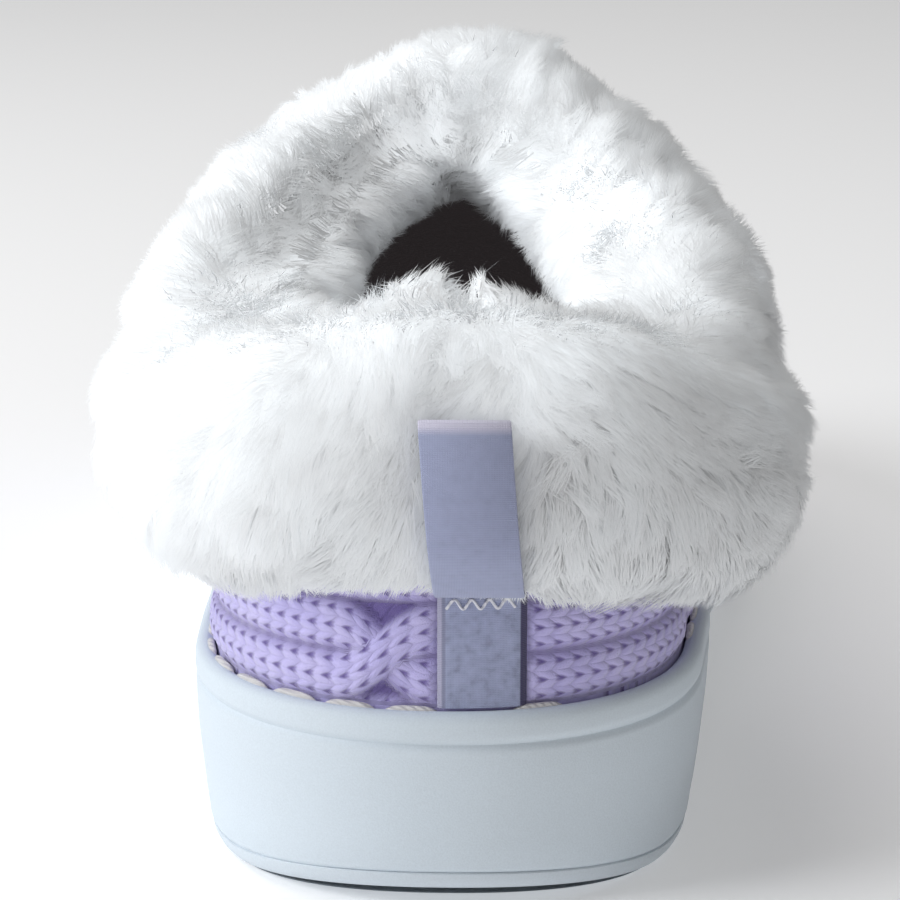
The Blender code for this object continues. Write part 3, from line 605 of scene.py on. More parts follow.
def knit_material():
    """Thick yarn: V stitches from the knit's own lines; a deep lavender is painted shade in their
    holes, at their joints and along the valleys between the cables.
    """
    material, tree, shader = new_material("lavender_cable_knit", LAVENDER, 0.92)
    shader.inputs["Sheen Weight"].default_value = 0.5
    shader.inputs["Sheen Roughness"].default_value = 0.5
    lines = add_node(tree, "ShaderNodeAttribute", attribute_name="knit_lines").outputs["Vector"]
    parts = add_node(tree, "ShaderNodeSeparateXYZ", {0: lines})
    across_strand, stitches, depth = parts.outputs
    centred = math_node(tree, "SUBTRACT", math_node(tree, "FRACT", across_strand), 0.5)
    leg = math_node(tree, "ABSOLUTE", centred)
    slant = math_node(tree, "MULTIPLY", leg, 1.1)
    beat = math_node(tree, "FRACT", math_node(tree, "ADD", stitches, slant))
    along_leg = math_node(tree, "SINE", math_node(tree, "MULTIPLY", beat, math.pi))
    off = math_node(tree, "MULTIPLY", math_node(tree, "SUBTRACT", leg, 0.25), 3.6)
    bulge = math_node(tree, "SUBTRACT", 1.0, math_node(tree, "MULTIPLY", off, off), clamp=True)
    height = math_node(tree, "MULTIPLY", math_node(tree, "POWER", bulge, 0.5),
                       math_node(tree, "POWER", along_leg, 0.6))
    place = tree.nodes.new("ShaderNodeTexCoord").outputs["Object"]
    fibres = add_node(tree, "ShaderNodeTexNoise", {
        "Vector": place, "Scale": 2400.0, "Detail": 4.0, "Distortion": 2.0})
    felted = add_node(tree, "ShaderNodeTexNoise", {"Vector": place, "Scale": 150.0, "Detail": 3.0})
    total = math_node(tree, "ADD", height, math_node(tree, "MULTIPLY", fibres.outputs["Fac"], 0.7))
    bump = add_node(tree, "ShaderNodeBump", {
        "Height": total, "Strength": 0.55, "Distance": 0.0007})
    # Painted shade: the yarn turns deep lavender where a stitch lies low, in a pit at each joint of its
    # legs, and along the valleys between cables, carried in the third value of knit_lines.
    hole = add_node(tree, "ShaderNodeMapRange", {
        "Value": height, "From Min": 0.0, "From Max": 0.75, "To Min": 0.22, "To Max": 0.0})
    from_joint = math_node(tree, "ABSOLUTE", math_node(tree, "SUBTRACT", math_node(
        tree, "FRACT", math_node(tree, "ADD", beat, 0.5)), 0.5))
    beside = math_node(tree, "MULTIPLY", leg, 4.2)
    ahead = math_node(tree, "MULTIPLY", from_joint, 3.0)
    spread = math_node(tree, "ADD", math_node(tree, "MULTIPLY", beside, beside),
                       math_node(tree, "MULTIPLY", ahead, ahead))
    pit_shade = math_node(tree, "MULTIPLY", math_node(tree, "SUBTRACT", 1.0, spread, clamp=True), 0.95)
    shade = math_node(tree, "MAXIMUM", math_node(tree, "MAXIMUM", hole.outputs[0], pit_shade), depth)
    mottle = add_node(tree, "ShaderNodeMapRange", {
        "Value": felted.outputs["Fac"], "From Min": 0.35, "From Max": 0.7,
        "To Min": 0.0, "To Max": 0.35})
    pale = tuple(min(c * 1.25 + 0.06, 1.0) for c in LAVENDER)
    yarn = mixed(tree, mottle.outputs[0], LAVENDER, pale)
    colour = mixed(tree, shade, yarn, LAVENDER_PAINTED_SHADE)
    tree.links.new(colour, shader.inputs["Base Color"])
    tree.links.new(bump.outputs[0], shader.inputs["Normal"])
    return material


knit_wall = upper_wall(KNIT_COLUMNS, KNIT_ROWS)
knit_normals, _ = wall_frames(knit_wall)
line, along, climb, outer_side, vamp = knit_lines(knit_wall)
cable, across_strand = cabled(line, along, outer_side)
fine = STITCH_HEIGHT * stitch_height(across_strand, along) * (1.0 - vamp)
relief = cable + fine - STRAND_SINK
edge_fall = smooth(climb / 0.0022)
relief = relief * edge_fall
under_stay = (knit_wall[:, :, 1] < 0.0) & (
    np.abs(knit_wall[:, :, 0] - RIBBON_OFFSET) < RIBBON_WIDTH / 2 + 0.0006)
relief = np.where(under_stay, np.minimum(relief, 0.0001), relief)
relief[:, 0] = -0.0002
knit_points = knit_wall + knit_normals * relief[:, :, None]
turned_in = [knit_wall[:, row] - knit_normals[:, row] * KNIT_WALL for row in (0, -1)]
knit_rings = [turned_in[0]] + [knit_points[:, row] for row in range(KNIT_ROWS + 2)] + [turned_in[1]]
knit = piece("upper_knit", [stacked(knit_rings)], knit_material(), "upper",
             merge=False, sharp=0)
# Painted shade along the valley between two cables, handed to the knit's material as the third value of
# knit_lines.
valley_shade = np.clip(1.35 - cable / STRAND_HEIGHT * 1.55, 0.0, 0.9) * edge_fall
field = np.stack([across_strand, along / STITCH_LENGTH, valley_shade], axis=2)
field = np.concatenate([field[:, :1], field, field[:, -1:]], axis=1)
attribute = knit.data.attributes.new("knit_lines", "FLOAT_VECTOR", "POINT")
attribute.data.foreach_set("vector", field.transpose(1, 0, 2).reshape(-1))

# Lining: charcoal fleece glued to the inside of the knit, dark down in the opening.
# Only its upper edge catches the light, below the fur.
LINING_COLUMNS = 160
LINING_ROWS = 24
LINING_STAND = 0.0001

fleece = felt_material("charcoal_fleece", CHARCOAL, 1300.0)
glowing_fleece_shader = fleece.node_tree.nodes["Principled BSDF"]
# The fleece glows faintly in its own charcoal: painted light that lifts the dark opening.
glowing_fleece_shader.inputs["Emission Color"].default_value = (*CHARCOAL, 1.0)
glowing_fleece_shader.inputs["Emission Strength"].default_value = 0.16
lining_wall = upper_wall(LINING_COLUMNS, LINING_ROWS)
lining_normals, _ = wall_frames(lining_wall)
lining_points = lining_wall - lining_normals * (KNIT_WALL + LINING_STAND)
lining = piece("upper_lining",
               [stacked([lining_points[:, row] for row in range(LINING_ROWS + 2)])],
               fleece, "upper", merge=False, sharp=0)

# Fur collar: deep white pile sewn over the edge of the knit and down inside it. Its
# hairs gather in tufts, which are combed down outside and into the opening inside.
PILE_OUTSIDE = 0.0150
PILE_INSIDE = 0.0125
PILE_CREST = 0.0140
CUFF_DROP = 0.030
CUFF_SAG = 0.44
CUFF_SAG_TURN = 0.33
SLOT_GAP = 0.0005
CUFF_SECTION = (
    # along the wall in drops or crests, out from it in piles: outside hem to inside hem
    (-1.03, 0.20),
    (-0.95, 0.58),
    (-0.76, 0.92),
    (-0.50, 1.05),
    (-0.20, 1.02),
    (0.30, 0.84),
    (0.85, 0.46),
    (0.80, 0.02),
    (0.97, -0.40),
    (0.45, -0.88),
    (-0.15, -1.00),
    (-0.60, -0.86),
    (-0.96, -0.45),
)
CUFF_FULLNESS = (
    # turn, pile outside, at the crest and inside
    (0.00, 1.00, 1.00, 1.00),
    (0.14, 1.30, 1.00, 1.00),
    (0.28, 1.42, 0.95, 1.05),
    (0.45, 1.18, 0.95, 1.10),
    (0.70, 0.92, 1.05, 1.00),
    (1.00, 0.95, 1.15, 0.80),
)
FUR_COLUMNS = 360
FUR_ROWS = 72
FUR_BED = 0.0040
FUR_LUMPS = 0.0010
HAIR_COUNT = 200000
HAIR_WIDTH = 0.00024
HAIR_LENGTH = 0.0095
HAIR_RISE = 0.0042
TUFT_COUNT = 4200
LOCK_COUNT = 420
HEM_ROWS = 9
PARTING = (
    # column and row of the crease along the inner side's crest
    (176, 36), (190, 38), (208, 41), (232, 42), (250, 42), (262, 39), (270, 37), (282, 36),
)
PARTING_DEPTH = 0.0028
PARTING_HALF = 2.0
SWELLINGS = (
    # middle column and row, half columns and rows, push outward and down
    (56, 5, 26, 12, 0.0016, 0.0054),
    (168, 28, 22, 11, 0.0028, 0.0),
    (296, 7, 26, 13, -0.0014, -0.0012),
    (300, 19, 24, 9, 0.0008, 0.0),
    (204, 26, 18, 12, -0.0020, 0.0),
    (150, 24, 12, 12, -0.0008, 0.0),
    (75, 24, 26, 10, -0.0024, 0.0),
    (338, 45, 9, 6, 0.0010, -0.0010),
    (26, 45, 12, 6, 0.0012, -0.0014),
    (9, 45, 4, 5, -0.0018, 0.0014),
)
FUR_WHITE = (0.89, 0.91, 0.925)
# Grey reached at the hair roots as painted shade, and in the random drift from tuft to tuft.
FUR_GREY = (0.64, 0.635, 0.635)


def cuff_surface(columns, rows):
    """Envelope of the pile: columns round the collar, rows from hem over crest to hem."""
    wall = upper_wall(columns, 40)
    normals, ups = wall_frames(wall)
    turn = column_turn(columns)
    sagging = np.minimum(turn / (2.0 * CUFF_SAG_TURN), 1.0)
    drop = CUFF_DROP * (1.0 + CUFF_SAG * np.sin(np.pi * sagging) ** 2)
    index = np.linspace(0.0, len(CUFF_SECTION) - 1.0, rows)
    table = [(i, *row) for i, row in enumerate(CUFF_SECTION)]
    surface = np.zeros((columns, rows, 3))
    for row, (up_share, out_share) in enumerate(zip(curve(table, index, 1), curve(table, index, 2))):
        if out_share >= 0:
            depth = SLOT_GAP + PILE_OUTSIDE * out_share * curve(CUFF_FULLNESS, turn, 1)
        else:
            depth = -KNIT_WALL - SLOT_GAP + PILE_INSIDE * out_share * curve(CUFF_FULLNESS, turn, 3)
        if up_share > 0:
            reach = up_share * PILE_CREST * curve(CUFF_FULLNESS, turn, 2)
            base = wall[:, -1] + ups[:, -1] * reach[:, None]
            facing = normals[:, -1]
        else:
            base, facing = down_wall(wall, normals, -up_share * drop)
        surface[:, row] = base + facing * depth[:, None]
    inside = curve(table, index, 2) < 0
    loops = surface[:, inside]
    for _ in range(int(5 * (columns / 60) ** 2)):
        loops = (np.roll(loops, 1, axis=0) + loops * 2 + np.roll(loops, -1, axis=0)) / 4
    surface[:, inside] = loops
    return surface


def down_wall(wall, normals, distance):
    """Points and normals at a distance down each column from the collar."""
    flipped, facing = wall[:, ::-1], normals[:, ::-1]
    steps = np.linalg.norm(np.diff(flipped, axis=1), axis=2)
    reached = np.concatenate([np.zeros((len(wall), 1)), np.cumsum(steps, axis=1)], axis=1)
    i = np.clip((reached <= distance[:, None]).sum(axis=1) - 1, 0, wall.shape[1] - 2)
    column = np.arange(len(wall))
    t = (distance - reached[column, i]) / steps[column, i]
    t = np.clip(t, 0.0, 1.0)[:, None]
    place = flipped[column, i] * (1 - t) + flipped[column, i + 1] * t
    normal = facing[column, i] * (1 - t) + facing[column, i + 1] * t
    return place, unit(normal)


def waves(points, scale, seed):
    """Three smooth values in -1..1 over space, from a few crossed waves."""
    turns = np.random.default_rng(seed)
    total = np.zeros(points.shape)
    for octave in range(4):
        push = turns.normal(size=(3, 3)) * 6.28 / scale * (0.42 + 0.2 * octave)
        total += np.sin(points @ push.T + turns.uniform(0, 6.28, 3)) / 2.4
    return np.clip(total, -1.0, 1.0)


def softened(field, times):
    """Field over the columns and rows, each value drawn toward its neighbours."""
    for _ in range(times):
        field = (np.roll(field, 1, axis=0) + field * 2 + np.roll(field, -1, axis=0)) / 4
        inner = (field[:, :-2] + field[:, 1:-1] * 2 + field[:, 2:]) / 4
        field = np.concatenate([field[:, :1], inner, field[:, -1:]], axis=1)
    return field


def grown_surface():
    """The envelope with its soft swellings, its lumps and the crease of its parting."""
    surface = cuff_surface(FUR_COLUMNS, FUR_ROWS)
    around = np.roll(surface, -1, axis=0) - np.roll(surface, 1, axis=0)
    normals = unit(np.cross(around, np.gradient(surface, axis=1)))
    column, row = np.meshgrid(np.arange(FUR_COLUMNS), np.arange(FUR_ROWS), indexing="ij")
    push = waves(surface, 0.020, 3)[:, :, 0] * FUR_LUMPS
    push += waves(surface, 0.010, 4)[:, :, 0] * FUR_LUMPS * 0.25
    crease_row = np.interp(column, *zip(*PARTING))
    fade = smooth((column - PARTING[0][0]) / 14) * smooth((PARTING[-1][0] - column) / 14)
    push -= PARTING_DEPTH * fade * np.exp(-((row - crease_row) / PARTING_HALF) ** 2)
    for column_at, row_at, columns, rows, outward, down in SWELLINGS:
        aside = (column - column_at + FUR_COLUMNS / 2) % FUR_COLUMNS - FUR_COLUMNS / 2
        share = np.exp(-(aside / columns) ** 2 - ((row - row_at) / rows) ** 2)
        push += outward * share
        surface[:, :, 2] -= down * share
    return softened(surface + softened(normals, 8) * push[:, :, None], 2)


fur_surface = grown_surface()
fur_around = unit(np.roll(fur_surface, -1, axis=0) - np.roll(fur_surface, 1, axis=0))
fur_over = unit(softened(np.gradient(fur_surface, axis=1), 4))
fur_normals = unit(softened(unit(np.cross(fur_around, fur_over)), 10))
fur_bed = fur_surface - fur_normals * FUR_BED
rows_share = np.linspace(0.0, 1.0, FUR_ROWS)


def spread_over(count, density):
    """Random places on the envelope, as part columns and part rows."""
    cells = np.linalg.norm(np.cross(
        np.roll(fur_surface, -1, axis=0)[:, :-1] - fur_surface[:, :-1],
        fur_surface[:, 1:] - fur_surface[:, :-1]), axis=2) * density[None, :-1]
    total = np.cumsum(cells.reshape(-1))
    cell = np.searchsorted(total, draw.uniform(0, total[-1], count))
    column, row = np.divmod(cell, FUR_ROWS - 1)
    return column + draw.random(count), row + draw.random(count)


def on_grid(grid, column, row):
    """Values of a grid at part columns and part rows."""
    c, r = np.floor(column).astype(int), np.floor(row).astype(int)
    tc, tr = (column - c)[:, None], (row - r)[:, None]
    nc, nr = (c + 1) % FUR_COLUMNS, np.minimum(r + 1, FUR_ROWS - 1)
    c = c % FUR_COLUMNS
    low = grid[c, r] * (1 - tr) + grid[c, nr] * tr
    high = grid[nc, r] * (1 - tr) + grid[nc, nr] * tr
    return low * (1 - tc) + high * tc


COMB = (
    # row share, pull toward the inside hem, rise of the tips in rises
    (0.00, -0.90, 0.80),
    (0.16, -1.00, 0.95),
    (0.36, -0.90, 1.00),
    (0.50, -0.35, 1.08),
    (0.58, 0.30, 1.05),
    (0.72, 0.95, 0.80),
    (1.00, 1.00, 0.60),
)
COMB_MIXING = 0.045
HAIR_STEPS = np.array((0.0, 0.5, 1.0))


def near_ribbon(points, margin):
    return (points[:, 1] < -0.030) & (
        np.abs(points[:, 0] - RIBBON_OFFSET + 0.001) < RIBBON_WIDTH / 2 + margin) & (
        points[:, 2] < 0.082)


def hair_paths(column, row, tilt, length_scale, rise_scale):
    """Stations of each hair, from the bed to its tip, and the normals under them."""
    skin = on_grid(fur_surface, column, row)
    normal = unit(on_grid(fur_normals, column, row))
    over = unit(on_grid(fur_over, column, row))
    share = row / (FUR_ROWS - 1) + draw.normal(size=len(row)) * COMB_MIXING
    calm = 1.0 - 0.55 * np.exp(-((share - 0.52) / 0.09) ** 2)[:, None]
    lean = over * curve(COMB, share, 1)[:, None] + (waves(skin, 0.034, 11) * 0.45 + tilt) * calm
    lean = lean - normal * np.sum(lean * normal, axis=1, keepdims=True)
    size = np.linalg.norm(lean, axis=1, keepdims=True)
    lean = lean / np.maximum(size, 1e-6) * np.clip(size, 0.60, 1.05)
    rise = HAIR_RISE * curve(COMB, share, 2) * rise_scale
    rise = np.where(near_ribbon(skin, 0.0015), np.minimum(rise, FUR_BED - 0.0002), rise)
    length = (HAIR_LENGTH * length_scale)[:, None]
    root = skin - normal * FUR_BED - lean * length * 0.5
    stations = [root + lean * length * s ** 1.2 + normal * (rise * (1 - (1 - s) ** 1.5))[:, None]
                for s in HAIR_STEPS]
    return np.stack(stations, axis=1), normal


def nearest(points, centres):
    tree = kdtree.KDTree(len(centres))
    for i, centre in enumerate(centres):
        tree.insert(centre, i)
    tree.balance()
    return np.array([tree.find(point)[1] for point in points])


density = np.interp(rows_share, (0.0, 0.05, 0.5, 0.8, 1.0), (0.9, 1.0, 1.0, 0.85, 0.35))
lock_column, lock_row = spread_over(LOCK_COUNT, density)
lock_tilt = draw.normal(size=(LOCK_COUNT, 3)) * 0.26
lock_rise = draw.uniform(0.82, 1.20, LOCK_COUNT)
lock_length = draw.uniform(0.85, 1.20, LOCK_COUNT)
lock_paths, _ = hair_paths(lock_column, lock_row, lock_tilt, lock_length * 1.1, lock_rise)
lock_skin = on_grid(fur_surface, lock_column, lock_row)

tuft_column, tuft_row = spread_over(TUFT_COUNT, density)
tuft_skin = on_grid(fur_surface, tuft_column, tuft_row)
tuft_lock = nearest(tuft_skin, lock_skin)
tuft_tilt = lock_tilt[tuft_lock] + draw.normal(size=(TUFT_COUNT, 3)) * 0.17
tuft_rise = lock_rise[tuft_lock] * draw.uniform(0.85, 1.15, TUFT_COUNT)
tuft_length = lock_length[tuft_lock] * draw.uniform(0.85, 1.15, TUFT_COUNT)
at_hem = smooth(1.0 - tuft_row / HEM_ROWS)
tuft_length *= 1.0 + at_hem * draw.uniform(-0.35, 0.75, TUFT_COUNT)
tuft_paths, _ = hair_paths(tuft_column, tuft_row, tuft_tilt, tuft_length, tuft_rise)
pull = (HAIR_STEPS ** 1.5 * 0.18)[None, :, None]
tuft_paths = tuft_paths * (1 - pull) + lock_paths[tuft_lock] * pull

hair_column, hair_row = spread_over(HAIR_COUNT, density)
hair_skin = on_grid(fur_surface, hair_column, hair_row)
hair_tuft = nearest(hair_skin, tuft_skin)
hair_tilt = tuft_tilt[hair_tuft] * 0.8 + draw.normal(size=(HAIR_COUNT, 3)) * 0.16
hair_rise = tuft_rise[hair_tuft] * draw.uniform(0.75, 1.15, HAIR_COUNT)
hair_length = tuft_length[hair_tuft] * draw.uniform(0.65, 1.15, HAIR_COUNT)
paths, hair_normal = hair_paths(hair_column, hair_row, hair_tilt, hair_length, hair_rise)
pull = (HAIR_STEPS ** 1.3)[None, :, None] * draw.uniform(0.10, 0.55, HAIR_COUNT)[:, None, None]
paths = paths * (1 - pull) + tuft_paths[hair_tuft] * pull


def fur_material(name, hairs):
    """White pile: pale tips over roots greyed as painted shade deep in the pile, and a slow drift from
    tuft to tuft.
    """
    material, tree, shader = new_material(name, FUR_WHITE, 0.85)
    shader.inputs["Sheen Weight"].default_value = 0.3
    shader.inputs["Sheen Roughness"].default_value = 0.4
    place = tree.nodes.new("ShaderNodeTexCoord").outputs["Object"]
    drift = add_node(tree, "ShaderNodeTexNoise", {"Vector": place, "Scale": 55.0, "Detail": 3.0})
    cloud = add_node(tree, "ShaderNodeMapRange", {
        "Value": drift.outputs["Fac"], "From Min": 0.40, "From Max": 0.72,
        "To Min": 0.0, "To Max": 0.45})
    if hairs:
        fibre = add_node(tree, "ShaderNodeAttribute", attribute_name="fibre").outputs["Vector"]
        parts = add_node(tree, "ShaderNodeSeparateXYZ", {0: fibre})
        # Painted shade: each hair greys toward its root, standing in for the shade deep in the pile.
        root = add_node(tree, "ShaderNodeMapRange", {
            "Value": parts.outputs[0], "From Min": 0.1, "From Max": 0.8,
            "To Min": 0.35, "To Max": 0.0})
        tone = math_node(tree, "MULTIPLY", parts.outputs[1], 0.12)
        shade = math_node(tree, "ADD", root.outputs[0], tone)
    else:
        streak = add_node(tree, "ShaderNodeTexNoise", {
            "Vector": place, "Scale": 700.0, "Detail": 4.0, "Distortion": 3.0})
        shade = math_node(tree, "MULTIPLY", streak.outputs["Fac"], 0.12)
        bump = add_node(tree, "ShaderNodeBump", {
            "Height": streak.outputs["Fac"], "Strength": 0.5, "Distance": 0.0008})
        tree.links.new(bump.outputs[0], shader.inputs["Normal"])
    total = math_node(tree, "ADD", shade, math_node(tree, "MULTIPLY", cloud.outputs[0], 0.5),
                      clamp=True)
    tree.links.new(mixed(tree, total, FUR_WHITE, FUR_GREY), shader.inputs["Base Color"])
    return material


def hair_piece(name, chosen, material):
    """Tapered flat hairs joined in one mesh, shaded as the pile that they lie in."""
    line = paths[chosen]
    normal = hair_normal[chosen]
    count = len(line)
    ahead = unit(np.gradient(line, axis=1))
    side = unit(np.cross(ahead, normal[:, None]))
    roll = draw.uniform(-0.35, 0.35, count)[:, None, None]
    facing = unit(np.cross(side, ahead))
    side = side * np.cos(roll) + facing * np.sin(roll)
    taper = np.array((0.9, 0.8))[None, :, None] * HAIR_WIDTH / 2
    taper = taper * draw.uniform(0.6, 1.2, count)[:, None, None]
    left, right = line[:, :2] - side[:, :2] * taper, line[:, :2] + side[:, :2] * taper
    points = np.concatenate([np.stack([left, right], axis=2).reshape(count, 4, 3),
                             line[:, 2:]], axis=1)
    start = (np.arange(count) * 5)[:, None]
    quads, tips = start + np.array((0, 1, 3, 2)), start + np.array((2, 3, 4))
    data = bpy.data.meshes.new(name)
    data.vertices.add(count * 5)
    data.vertices.foreach_set("co", points.reshape(-1))
    corners = np.concatenate([quads.reshape(-1), tips.reshape(-1)])
    data.loops.add(len(corners))
    data.loops.foreach_set("vertex_index", corners.astype(np.int32))
    starts = np.concatenate([np.arange(count) * 4, 4 * count + np.arange(count) * 3])
    data.polygons.add(2 * count)
    data.polygons.foreach_set("loop_start", starts.astype(np.int32))
    data.update(calc_edges=True)
    upright = unit(normal[:, None] - ahead * np.sum(normal[:, None] * ahead, axis=2, keepdims=True))
    shading = unit(normal[:, None] * 0.75 + upright * 0.25)
    doubled = np.repeat(shading[:, :2], 2, axis=1)
    shading = np.concatenate([doubled, shading[:, 2:]], axis=1).reshape(-1, 3)
    data.shade_smooth()
    data.normals_split_custom_set_from_vertices(shading.tolist())
    tone = draw.random(TUFT_COUNT)[hair_tuft[chosen]][:, None] + np.zeros((1, 5))
    level = np.repeat(HAIR_STEPS[:2], 2).tolist() + [1.0]
    fibre = np.stack([np.tile(level, (count, 1)), tone, tone * 0], axis=2)
    attribute = data.attributes.new("fibre", "FLOAT_VECTOR", "POINT")
    attribute.data.foreach_set("vector", fibre.reshape(-1))
    data.materials.append(material)
    obj = bpy.data.objects.new(name, data)
    bpy.context.scene.collection.objects.link(obj)
    obj.visible_shadow = False
    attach(obj, "root")
    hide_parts("fur_collar")
    return obj


bed_rings = [fur_bed[:, row] for row in range(FUR_ROWS)]
piece("fur_bed", [stacked(bed_rings + [bed_rings[0]])], fur_material("white_fur_bed", False),
      "fur_collar", merge=True, sharp=0)
pile = fur_material("white_fur_pile", True)
outside = hair_row / (FUR_ROWS - 1) < 0.5
for side_name, chosen, regions in (("outside", outside, ("heel", "sides", "throat")),
                                   ("inside", ~outside, ("heel", "throat"))):
    places = hair_skin[chosen, 1]
    limits = np.quantile(places, np.linspace(0.0, 1.0, len(regions) + 1))
    limits[-1] += 1.0
    for region, low, high in zip(regions, limits[:-1], limits[1:]):
        hair_piece(f"fur_{side_name}_{region}",
                   chosen & (hair_skin[:, 1] >= low) & (hair_skin[:, 1] < high), pile)

# Heel stay and pull loop: one grey-lavender ribbon sewn over the back seam, and a second
# folded double and tacked to its top, which lies up over the fur as a finger pull.
STAY_THICKNESS = 0.0008
STAY_LIFT = GAP * 1.5
LOOP_THICKNESS = 0.0008
LOOP_HOLLOW = 0.0010
LOOP_LENGTH = 0.0366
LOOP_SEAM = 0.0008
LOOP_CLEARANCE = 0.0018
LOOP_LEAN = 0.075
RIBBON_BLUE = (0.335, 0.366, 0.540)
THREAD_WHITE = (0.78, 0.78, 0.84)
STAY_LOW, STAY_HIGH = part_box("heel_stay")


def between(tree, value, low, high, first=0.0, last=1.0):
    """Value brought from low..high to first..last, and held there outside of it."""
    return add_node(tree, "ShaderNodeMapRange", {
        "Value": value, "From Min": low, "From Max": high,
        "To Min": first, "To Max": last}).outputs[0]


def ribbon_material(name, wear, marks):
    """Woven ribbon: fine cross ribs with a soft shine, faded in places, with marks as
    bands of colour: axis, start, full, and the colour that is reached there."""
    material, tree, shader = new_material(name, RIBBON_BLUE, 0.65)
    shader.inputs["Sheen Weight"].default_value = 0.25
    place = tree.nodes.new("ShaderNodeTexCoord").outputs["Object"]
    axes = add_node(tree, "ShaderNodeSeparateXYZ", {0: place}).outputs
    ribs = add_node(tree, "ShaderNodeTexWave", {
        "Vector": place, "Scale": 1150.0, "Distortion": 0.8, "Detail": 2.0},
        wave_type="BANDS", bands_direction="Z")
    threads = add_node(tree, "ShaderNodeTexWave", {
        "Vector": place, "Scale": 1400.0, "Distortion": 0.6, "Detail": 2.0},
        wave_type="BANDS", bands_direction="X")
    fade = add_node(tree, "ShaderNodeTexNoise", {"Vector": place, "Scale": 700.0, "Detail": 5.0})
    weave = math_node(tree, "ADD", ribs.outputs["Fac"],
                      math_node(tree, "MULTIPLY", threads.outputs["Fac"], 0.5))
    deep = tuple(c * 0.55 for c in RIBBON_BLUE)
    pale = tuple(c * 1.25 + 0.04 for c in RIBBON_BLUE)
    colour = mixed(tree, between(tree, fade.outputs["Fac"], 0.45, 0.75, 0.0, wear), RIBBON_BLUE, pale)
    colour = mixed(tree, between(tree, fade.outputs["Fac"], 0.45, 0.25, 0.0, wear), colour, deep)
    colour = mixed(tree, between(tree, weave, 0.0, 0.9, 0.18, 0.0), colour, deep)
    for axis, start, full, reached in marks:
        colour = mixed(tree, between(tree, axes[axis], start, full), colour, reached)
    tree.links.new(colour, shader.inputs["Base Color"])
    bump = add_node(tree, "ShaderNodeBump", {
        "Height": weave, "Strength": 0.4, "Distance": 0.00016})
    tree.links.new(bump.outputs[0], shader.inputs["Normal"])
    return material


def heel_face(x, z):
    """Place and normal on the knit's face at the back of the heel."""
    order = np.concatenate([np.arange(-40, 0), np.arange(0, 41)]) % 480
    back = stay_wall[order]
    facing = stay_normals[order]
    heights = np.array([[np.interp(z, back[i, :, 2], values[i, :, axis]) for axis in range(3)]
                        for values in (back, facing) for i in range(len(order))])
    line, normal = heights[:len(order)], heights[len(order):]
    place = np.array([np.interp(x, line[:, 0], line[:, axis]) for axis in range(3)])
    out = np.array([np.interp(x, line[:, 0], normal[:, axis]) for axis in range(3)])
    return place, unit(out)


def ribbon_sheet(centre_line, outward, centre_x, thickness):
    """Closed strip along a path of (y, z), with softly rounded edges."""
    profile = ((-1.0, -0.6), (-1.0, 0.6), (-0.96, 1.0), (-0.5, 1.0), (0.0, 1.0), (0.5, 1.0),
               (0.96, 1.0), (1.0, 0.6), (1.0, -0.6), (0.96, -1.0), (0.0, -1.0), (-0.96, -1.0))
    rings = []
    for across_share, out_share in profile:
        place = centre_line + outward * out_share * thickness / 2
        x = centre_x + across_share * RIBBON_WIDTH / 2
        rings.append(np.column_stack([x, place]))
    return np.stack(rings, axis=1)


stay_wall = upper_wall(480, 60)
stay_normals, _ = wall_frames(stay_wall)
ribbon_left = RIBBON_OFFSET - RIBBON_WIDTH / 2
stay_cloth = ribbon_material("worn_stay_ribbon_edge_shadow", 0.55, (
    # Marks across the stay: a pale strip and a darker band at its left edge, and a near-black band at
    # its right edge, which is painted shadow of the gap between the stay and the knit.
    (0, ribbon_left + 0.0013, ribbon_left + 0.0010, (0.235, 0.245, 0.37)),
    (0, ribbon_left + 0.0008, ribbon_left + 0.0005, (0.43, 0.42, 0.57)),
    (0, ribbon_left + 0.0119, ribbon_left + 0.0121, (0.050, 0.042, 0.11)),
))
stay_bottom, stay_top = STAY_LOW[2], STAY_HIGH[2]
STAY_RAISE = 0.0026
LOOP_SETTLE = 0.0011
stay_xs = np.linspace(RIBBON_OFFSET - RIBBON_WIDTH / 2, RIBBON_OFFSET + RIBBON_WIDTH / 2, 15)
stay_rings = []
for z in np.linspace(stay_bottom, stay_top + STAY_RAISE, 24):
    faces = [heel_face(x, z) for x in stay_xs]
    edge = 1.0 - np.clip((np.abs(stay_xs - RIBBON_OFFSET) / (RIBBON_WIDTH / 2) - 0.9) / 0.1, 0, 1) * 0.5
    lower = [p + n * STAY_LIFT for p, n in faces]
    upper = [p + n * (STAY_LIFT + STAY_THICKNESS * e) for (p, n), e in zip(faces, edge)]
    stay_rings.append(np.array(lower + upper[::-1]))
stay_points, stay_faces = stacked(stay_rings)
half_count = len(stay_xs)
caps = []
for start in (0, len(stay_points) - 2 * half_count):
    caps += [(start + i, start + i + 1, start + 2 * half_count - 2 - i,
              start + 2 * half_count - 1 - i) for i in range(half_count - 1)]
stay = piece("heel_stay_ribbon",
             [(stay_points, np.concatenate([stay_faces, np.array(caps)]))],
             stay_cloth, "heel_stay", sharp=50)


